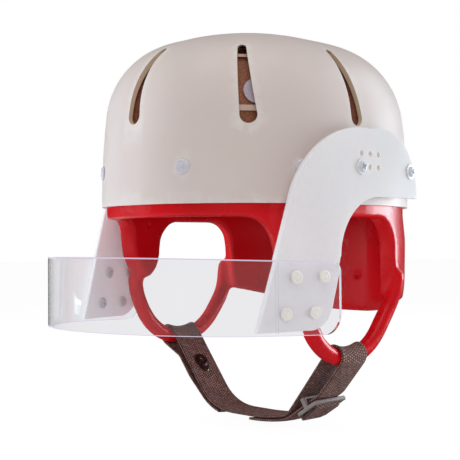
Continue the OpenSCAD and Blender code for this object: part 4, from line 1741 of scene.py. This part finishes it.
@dataclass
class StrapLine:
    """The strap's own frame and the lines that its webbing follows.

    The lines' points are (r, x): r is the distance from the swing's axis, x runs along it.
    Those of snap_low, slide_low, slide_top and the bends give r as a change from low_r. The
    wraps' angles are in degrees, and tab_bend is the part of the right bend that the tab covers.
    """

    origin: tuple[float, float, float] = (-1.5, -1.0, -53.5)
    tilt_y: float = 1.8
    tilt_z: float = 1.45
    loop_x: float = 80.0
    loop_r: float = 43.5
    rod_r: float = 5.6
    run: float = 0.3
    thick: float = 1.8
    low_r: float = 91.2
    layer_gap: float = 2.4
    tab_gap: float = 0.4
    tab_lift: float = 5.2
    snap_at: float = 28.5
    snap_half: float = 9.0
    slide_at: float = 20.0
    snap_low: tuple[float, float] = (-17.2, -45.8)
    slide_low: tuple[float, float] = (-5.8, 41.1)
    slide_top: tuple[float, float] = (-24.2, 67.0)
    right_bend_by: tuple[tuple[float, float], ...] = ((1.0, -31.5), (0.0, -9.0))
    left_bend_by: tuple[tuple[float, float], ...] = ((-0.3, 6.0), (-1.2, 31.5))
    past_snap: float = 4.0
    bend_steps: tuple[int, int] = (14, 12)
    wrap_from: float = 270.0
    wrap_steps: tuple[int, int] = (24, 34)
    tab_wrap_from: float = -84.0
    tab_wrap_steps: int = 12
    tab_bend: tuple[int, int] = (2, 10)

    def __post_init__(self) -> None:
        """Works out the points that the layers share."""
        self.web_c = self.rod_r + self.run + self.thick / 2
        self.snap_end = self.from_low(self.snap_low)
        slide_end = self.from_low(self.slide_low)
        self.slide_high = self.from_low(self.slide_top)
        self.snap_leave = self.leave(self.snap_end, -self.loop_x, 1)
        self.snap_start = self.rod_point(-self.loop_x, self.snap_leave)
        self.snap_dir = self.unit(self.snap_end - self.snap_start)
        self.snap_mid = self.snap_start + self.snap_dir * self.snap_at
        self.slide_dir = self.unit(self.slide_high - slide_end)
        self.slide_mid = slide_end + self.slide_dir * self.slide_at
        past_snap = self.snap_end + self.snap_dir * self.past_snap
        right, left = self.bend_steps
        by = [self.from_low(spot) for spot in self.right_bend_by]
        self.right_bend = self.curve(past_snap, *by, right)
        by = [self.from_low(spot) for spot in self.left_bend_by]
        self.left_bend = self.curve(*by, slide_end, left)

    def from_low(self, spot: tuple[float, float]) -> np.ndarray:
        """A point given by its change of r from the strap's lowest point, and its x."""
        return np.array([self.low_r + spot[0], spot[1]])

    @staticmethod
    def unit(v: np.ndarray) -> np.ndarray:
        """Returns the direction of v."""
        return v / np.linalg.norm(v)

    @staticmethod
    def outward(v: np.ndarray) -> np.ndarray:
        """Returns the direction a quarter turn from v, away from the wearer."""
        return np.array([v[1], -v[0]])

    @staticmethod
    def curve(a: Sequence, b: Sequence, c: Sequence, n: int) -> list[np.ndarray]:
        """A bend from a to c that is drawn towards b, in n steps.

        Args:
            a: where it starts.
            b: what draws it.
            c: where it ends.
            n: the number of steps.

        Returns:
            The bend's points.
        """
        a, b, c = (np.asarray(p, float) for p in (a, b, c))
        steps = np.linspace(0, 1, n + 1)
        return [(1 - u) ** 2 * a + 2 * u * (1 - u) * b + u * u * c for u in steps]

    def rod_point(self, x: float, angle: float) -> np.ndarray:
        """A point of the webbing on a loop's rod; 0 degrees is away from the axis."""
        a = math.radians(angle)
        return np.array([self.loop_r + self.web_c * math.cos(a), x + self.web_c * math.sin(a)])

    def round_rod(self, x: float, start: float, end: float, n: int) -> list[np.ndarray]:
        """Points round a loop's rod, from one angle to another."""
        return [self.rod_point(x, a) for a in np.linspace(start, end, n + 1)]

    def leave(self, p: np.ndarray, x: float, turn: int) -> float:
        """Finds where a straight run from p meets the webbing's path round the rod at x.

        Args:
            p: the run's far end.
            x: the rod's place.
            turn: 1 or -1 for the side of the rod.

        Returns:
            The angle in degrees.
        """
        d = np.asarray(p) - np.array([self.loop_r, x])
        opening = math.acos(self.web_c / float(np.linalg.norm(d)))
        return math.degrees(math.atan2(d[1], d[0])) + turn * math.degrees(opening)

    def outset(self, line: list[np.ndarray], gap: float) -> list[np.ndarray]:
        """Moves a line away from the wearer.

        Args:
            line: the points.
            gap: how far.

        Returns:
            The moved points.
        """
        made = []
        for i, p in enumerate(line):
            along = self.unit(line[min(len(line) - 1, i + 1)] - line[max(0, i - 1)])
            made.append(p + self.outward(along) * gap)
        return made

    def inner(self) -> list[np.ndarray]:
        """The webbing from the snap's side through both loops and back to the slider.

        Returns:
            The line's points.
        """
        back = self.slide_high + self.outward(self.slide_dir) * self.layer_gap
        meet = self.leave(self.slide_high, self.loop_x, -1)
        part = self.leave(back, self.loop_x, 1) - 360
        right, left = self.wrap_steps
        return [
            *self.round_rod(-self.loop_x, self.wrap_from, self.snap_leave, right),
            self.snap_end,
            *self.right_bend,
            *self.left_bend,
            *self.round_rod(self.loop_x, meet, part, left),
            back,
            *self.outset(self.left_bend, self.layer_gap)[::-1],
        ]

    def tab(self) -> list[np.ndarray]:
        """The tab that the snap holds, over the inner layer.

        Returns:
            The line's points.
        """
        lift = self.outward(self.snap_dir) * self.tab_lift
        ends = (-self.snap_half, self.snap_half)
        flat = [self.snap_mid + self.snap_dir * s + lift for s in ends]
        leave = self.leave(flat[0], -self.loop_x, -1)
        covered = slice(*self.tab_bend)
        return [
            *self.round_rod(-self.loop_x, self.tab_wrap_from, leave, self.tab_wrap_steps),
            *flat,
            *self.outset(self.right_bend, self.layer_gap + self.tab_gap)[covered],
        ]

    def matrix(self) -> Matrix:
        """Places the strap's frame in the CAD frame, in metres.

        Returns:
            The frame's matrix.
        """
        about_z = Matrix.Rotation(math.radians(self.tilt_z), 4, "Z")
        about_y = Matrix.Rotation(math.radians(self.tilt_y), 4, "Y")
        return Matrix.Translation(Vector(self.origin) * MM) @ (about_z @ about_y)

    def web_matrix(self, at: np.ndarray, along: np.ndarray) -> Matrix:
        """Returns a frame on the webbing: Z away from the wearer and X back along it."""
        turn = Matrix.Rotation(math.atan2(-along[0], -along[1]), 4, "Y")
        return self.matrix() @ Matrix.Translation(Vector((at[1], 0, -at[0])) * MM) @ turn


@dataclass
class Webbing:
    """The webbing's layers: the run, the tab and the loose tail, with their stitching."""

    width: float = 26.0
    step: float = 1.2
    ripple: float = 0.12
    line_step: float = 0.5
    ease: int = 4
    slider_top: float = 3.0
    tail_start: float = -6.5
    tail: float = 19.0
    tail_taper: float = 0.26
    taper_length: float = 2.6
    tail_turn: tuple[tuple[float, float], ...] = ((2.2, 0.9), (0.3, 1.0), (-0.75, 2.1))
    tail_level: float = -0.92
    tail_from: float = 4.0
    tail_points: int = 12
    tack_rows: int = 3
    tack_columns: int = 11
    tack_pitch: float = 2.2
    row_pitch: float = 1.9
    tack_from: float = 6.0
    stitch: tuple[float, float] = (2.1, 0.26)
    stitch_inset: float = 0.92
    stitch_lean: float = 0.25

    def build(self, line: StrapLine) -> None:
        """Makes the three bands and the rows of stitches.

        Args:
            line: the strap's lines.
        """
        tree = BandTree().tree
        bands = (
            ("webbing_run", line.inner(), Body.STRAP, "chin_strap"),
            ("webbing_tab", line.tab(), Body.TAB, "strap_tab"),
        )
        for name, points, body, node in bands:
            made = self.band(name, points, tree, 1.0, line.thick)
            made.data.transform(line.matrix())
            hand_over(made, body, [node])
        self.tail_end(line, tree)
        self.stitches(line)

    def eased(self, points: Sequence[np.ndarray]) -> np.ndarray:
        """Spaces a line evenly and softens its corners.

        Args:
            points: (r, x) of the line.

        Returns:
            The softened line.
        """
        rows = np.array(points)
        gaps = np.r_[0, np.cumsum(np.linalg.norm(np.diff(rows, axis=0), axis=1))]
        keep = np.r_[True, np.diff(gaps) > 1e-6]
        rows, gaps = rows[keep], gaps[keep]
        even = np.linspace(0, gaps[-1], int(gaps[-1] / self.line_step) + 2)
        line = np.stack([np.interp(even, gaps, rows[:, i]) for i in range(2)], axis=1)
        smooth = line.copy()
        for i in range(len(line)):
            reach = min(self.ease, i, len(line) - 1 - i)
            smooth[i] = line[i - reach : i + reach + 1].mean(axis=0)
        return smooth

    def band(
        self, name: str, line: Sequence, tree: bpy.types.NodeTree, arch: float, thick: float
    ) -> Piece:
        """Sweeps webbing along a line in the strap's frame.

        Args:
            name: the piece's name.
            line: (r, x) of the line.
            tree: the band's Geometry Nodes tree.
            arch: 1 where the width bends round the strap's axis, else 0.
            thick: the webbing's thickness.

        Returns:
            The band, still in the strap's frame.
        """
        points = [(x * MM, 0.0, -r * MM) for r, x in self.eased(line)]
        made = object_from(name, points, [], [(i, i + 1) for i in range(len(points) - 1)])
        made.data.materials.append(WEBBING.material())
        values = {
            "Width": self.width * MM,
            "Thickness": thick * MM,
            "Step": self.step * MM,
            "Arch": arch,
            "Ripple": self.ripple * MM,
            "Material": WEBBING.material(),
        }
        return run_tree(made, tree, values)

    def tail_end(self, line: StrapLine, tree: bpy.types.NodeTree) -> None:
        """Makes the loose end that turns back over the slider, with its corners cut.

        Args:
            line: the strap's lines.
            tree: the band's Geometry Nodes tree.
        """
        top = line.layer_gap + line.thick / 2 + self.slider_top
        start = self.tail_start
        rows = [(r - top, start + x) for r, x in self.tail_turn]
        flat = np.linspace(self.tail_from, self.tail, self.tail_points)
        rows += [(self.tail_level - top, start + x) for x in flat]
        made = self.band("webbing_tail", rows, tree, 0.0, line.thick)
        points = coordinates(made.data)
        taper = self.taper_length * MM
        near_end = np.clip((points[:, 0] - (points[:, 0].max() - taper)) / taper, 0, 1)
        points[:, 1] *= 1 - self.tail_taper * near_end
        place(made.data, points)
        made.data.transform(line.web_matrix(line.slide_mid, line.slide_dir))
        hand_over(made, Body.SLIDER, ["strap_tail"])

    def stitches(self, line: StrapLine) -> None:
        """Puts bar tacks of thread across the inner layer, where its end is sewn.

        Args:
            line: the strap's lines.
        """
        seats = []
        frame = line.matrix()
        turn = frame.to_3x3()
        out = line.outward(line.snap_dir)
        inward = (turn @ Vector((-out[1], 0, out[0]))).normalized()
        lie = (turn @ Vector((self.stitch_lean, 1.0, 0.0))).normalized()
        for row in range(self.tack_rows):
            at = line.snap_start + line.snap_dir * (self.tack_from + self.row_pitch * row)
            for column in range(self.tack_columns):
                y = self.tack_pitch * (column - (self.tack_columns - 1) / 2)
                r = math.sqrt((at[0] - self.stitch_inset) ** 2 - y * y)
                spot = frame @ (Vector((at[1], y, -r)) * MM) / MM
                seats.append(Seat(spot, inward, lie))
        length, radius = (size * MM for size in self.stitch)
        values = {"Length": length, "Radius": radius, "Material": THREAD.material()}
        made = run_tree(seats_object("bar_tack", seats), StitchTree().tree, values)
        face_out(made.data)
        made.data.shade_smooth()
        hand_over(made, Body.STRAP)


@dataclass
class Snap:
    """The snap: a teardrop eyelet plate inside, stud, socket and domed cap.

    outline goes from the hole to the back, as a share of the radius and a depth below the
    webbing's face.
    """

    radius: float = 6.0
    point: float = 3.4
    point_from: float = 0.66
    web_face: float = -0.9
    sink: float = 0.25
    point_power: int = 6
    sharp: float = 50.0
    sides: int = 72
    outline: tuple[tuple[float, float], ...] = (
        (0.20, 0.05), (0.20, 1.0), (0.24, 1.35), (0.34, 1.45), (0.44, 1.62), (0.54, 1.68),
        (0.64, 1.60), (0.70, 1.30), (0.74, 1.08), (0.84, 1.02), (0.93, 0.95), (0.985, 0.75),
        (1.0, 0.45), (0.985, 0.12), (0.95, 0.0), (0.5, 0.0),
    )

    def build(self, frame: dict, line: StrapLine) -> None:
        """Makes the eyelet plate and dresses the turned parts.

        Args:
            line: the strap's lines.
        """
        repaint(frame, SNAP_METAL, "snap_stud", "snap_socket")
        repaint(frame, DARK_METAL, "snap_cap")
        made = self.plate()
        made.data.transform(line.web_matrix(line.snap_mid, line.snap_dir))
        face_out(made.data)
        smooth_shaded(made, self.sharp)
        wear(made, DARK_METAL)
        hand_over(made, Body.STRAP, ["snap_eyelet"])

    def plate(self) -> Piece:
        """Makes a plate with a pointed end, a rolled ring and a hole, on the inner face.

        Returns:
            The plate, with the webbing's middle at its origin.
        """
        points = []
        for share, depth in self.outline:
            drawn = self.point * max(0.0, share - self.point_from) / (1 - self.point_from)
            z = (self.web_face - self.sink - depth) * MM
            for a in np.arange(self.sides) * 2 * math.pi / self.sides:
                pointed = max(0.0, -math.cos(a)) ** self.point_power
                reach = (self.radius * share + pointed * drawn) * MM
                points.append((reach * math.cos(a), reach * math.sin(a), z))
        n, rings = self.sides, len(self.outline)
        faces = []
        for ring in range(rings):
            here, there = ring * n, (ring + 1) % rings * n
            faces += [(here + i, here + j, there + j, there + i)
                      for i, j in ((i, (i + 1) % n) for i in range(n))]
        return object_from("eyelet_plate", points, faces)


@dataclass
class SliderFrame:
    """The three-bar slider: the CAD shape with rounded edges."""

    ease: float = 0.7
    ease_steps: int = 4
    ease_angle: float = 40.0

    def build(self, frame: dict) -> None:
        """Rounds the slider's edges.
        """
        made = merged_copy(frame, ["slider"], "three_bar_slider")
        angle = math.radians(self.ease_angle)
        sizes = {"width": self.ease * MM, "segments": self.ease_steps, "angle_limit": angle}
        modify(made, "BEVEL", limit_method="ANGLE", **sizes)
        settle(made)
        smooth_shaded(made, self.ease_angle)
        wear(made, SLIDER_PLASTIC)
        hand_over(made, Body.SLIDER, ["slider"])


# The studio


@dataclass(frozen=True)
class Softbox:
    """An area lamp, placed by its direction as shares of the camera's right, up and back.

    distance and size are in metres. A lamp that isn't mirrored doesn't show in glossy faces.
    """

    name: str
    toward: tuple[float, float, float]
    distance: float
    size: tuple[float, float]
    watts: float
    tint: Colour
    mirrored: bool = True

    def build(self, centre: Vector, axes: tuple[Vector, Vector, Vector]) -> None:
        """Adds the lamp, turned to the helmet.

        Args:
            centre: what it points at.
            axes: the camera's right, up and back directions.
        """
        data = bpy.data.lights.new(self.name, "AREA")
        data.shape = "RECTANGLE"
        data.size, data.size_y = self.size
        data.energy = self.watts
        data.color = srgb(self.tint)[:3]
        lamp = bpy.data.objects.new(self.name, data)
        bpy.context.scene.collection.objects.link(lamp)
        lamp.visible_glossy = self.mirrored
        lamp.visible_transmission = self.mirrored
        shares = zip(axes, self.toward)
        way = sum((axis * share for axis, share in shares), Vector((0, 0, 0))).normalized()
        lamp.location = centre + way * self.distance
        lamp.rotation_euler = way.to_track_quat("Z", "Y").to_euler()


COOL = (236, 247, 255)
WARM = (255, 250, 246)
TALL, LOW = (0.5, 1.1), (0.4, 0.22)
SOFTBOXES = (
    Softbox("left_softbox", (-1.0, 0.22, -0.34), 0.95, TALL, 4.0, COOL, False),
    Softbox("right_softbox", (1.0, 0.20, -0.46), 0.95, TALL, 4.1, COOL),
    Softbox("low_left_softbox", (-1.0, 0.0, -0.10), 0.8, LOW, 2.4, COOL, False),
    Softbox("low_right_softbox", (1.0, 0.0, -0.36), 0.8, LOW, 2.2, COOL),
    Softbox("top_softbox", (0.0, 1.0, 0.36), 1.1, (1.0, 1.0), 4.0, WARM),
    Softbox("front_softbox", (0.05, 0.30, 1.0), 1.4, (0.9, 0.9), 3.2, WARM, False),
)


@dataclass
class Studio:
    """White surroundings, soft lamps and the camera at the photograph's angle.

    Angles are in degrees, and places and the floor's size in metres. ambient, mirrored and
    through are how bright the surroundings are as light, in reflections and through the bar.
    """

    azimuth: float = 45.97
    elevation: float = -0.78
    roll: float = -0.37
    place: tuple[float, float, float] = (0.4955, -0.5081, -0.0246)
    lens: float = 78.47
    sensor: float = 36.0
    floor_z: float = -0.150
    floor_half: float = 6.0
    floor_white: float = 0.88
    floor_glow: float = 1.06
    floor_share: float = 0.9
    centre: tuple[float, float, float] = (0.0, 0.0, -0.01)
    ambient: float = 0.32
    mirrored: float = 0.04
    through: float = 0.87

    def axes(self) -> tuple[Vector, Vector, Vector]:
        """Works out how the camera stands.

        Returns:
            The camera's right, up and back directions.
        """
        a, e, t = (math.radians(v) for v in (self.azimuth, self.elevation, self.roll))
        back = Vector((math.sin(a) * math.cos(e), -math.cos(a) * math.cos(e), math.sin(e)))
        level = Vector((math.cos(a), math.sin(a), 0))
        above = back.cross(level)
        right = level * math.cos(t) + above * math.sin(t)
        return right, above * math.cos(t) - level * math.sin(t), back

    def camera(self) -> None:
        """Adds the camera."""
        data = bpy.data.cameras.new("photo_camera")
        data.lens, data.sensor_width = self.lens, self.sensor
        data.clip_start, data.clip_end = 0.01, 20.0
        made = bpy.data.objects.new("photo_camera", data)
        turn = Matrix(self.axes()).transposed().to_4x4()
        made.matrix_world = Matrix.Translation(self.place) @ turn
        bpy.context.scene.collection.objects.link(made)
        bpy.context.scene.camera = made

    @staticmethod
    def by_ray(w: Wiring, other: float, mirrored: float, through: float, seen: float) -> Socket:
        """Picks a number by the kind of ray.

        Args:
            w: the wiring that the nodes go into.
            other: the number for light that reaches the helmet.
            mirrored: the number for what glossy faces mirror.
            through: the number for what shows through clear plastic.
            seen: the number for what the camera sees.

        Returns:
            The socket with the number.
        """
        path = w.add("ShaderNodeLightPath").outputs
        value = w.spread(path["Is Glossy Ray"], 0.0, 1.0, other, mirrored)
        value = w.spread(path["Is Transmission Ray"], 0.0, 1.0, value, through)
        return w.spread(path["Is Camera Ray"], 0.0, 1.0, value, seen)

    def world(self) -> None:
        """Adds the white world."""
        world = bpy.data.worlds.new("white_studio")
        bpy.context.scene.world = world
        world.use_nodes = True
        w = Wiring(world.node_tree)
        background = world.node_tree.nodes["Background"]
        w.feed(background.inputs["Color"], (1, 1, 1, 1))
        strength = self.by_ray(w, self.ambient, self.mirrored, self.through, 1.0)
        w.feed(background.inputs["Strength"], strength)

    def floor(self) -> None:
        """Adds the floor, which looks white and keeps a faint shadow."""
        paint = bpy.data.materials.new("white_floor")
        paint.use_nodes = True
        nodes = paint.node_tree.nodes
        w = Wiring(paint.node_tree)
        shader = nodes["Principled BSDF"]
        w.feed(shader.inputs["Base Color"], (*(self.floor_white,) * 3, 1))
        w.feed(shader.inputs["Roughness"], 0.9)
        strength = self.by_ray(w, 0.0, self.mirrored, self.through, self.floor_glow)
        glow = w.add("ShaderNodeEmission", {"Color": (1, 1, 1, 1), "Strength": strength})
        share = self.by_ray(w, 0.0, self.floor_share, 1.0, self.floor_share)
        inputs = {0: share, 1: shader.outputs[0], 2: glow.outputs[0]}
        mixed = w.add("ShaderNodeMixShader", inputs)
        w.feed(nodes["Material Output"].inputs["Surface"], mixed.outputs[0])
        half = self.floor_half
        corners = [(-half, -half), (half, -half), (half, half), (-half, half)]
        floor = object_from("floor", [(x, y, self.floor_z) for x, y in corners], [(0, 1, 2, 3)])
        floor.data.materials.append(paint)

    def build(self) -> None:
        """Sets the whole studio."""
        bpy.context.scene.view_settings.view_transform = "Standard"
        self.camera()
        for box in SOFTBOXES:
            box.build(Vector(self.centre), self.axes())
        self.world()
        self.floor()


def main() -> None:
    """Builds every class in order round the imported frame."""
    logging.basicConfig(level=logging.INFO, format="%(name)s: %(message)s")
    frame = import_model()
    Studio().build()
    layout, line = Layout(), StrapLine()
    Shell().build(frame)
    DippedLiner().build(frame)
    CrownPads().build(frame)
    Rivets().build(frame, layout)
    SidePlates().build(frame, layout)
    FaceBar().build(frame, layout)
    Webbing().build(line)
    Snap().build(frame, line)
    SliderFrame().build(frame)


if __name__ == "__main__":
    main()
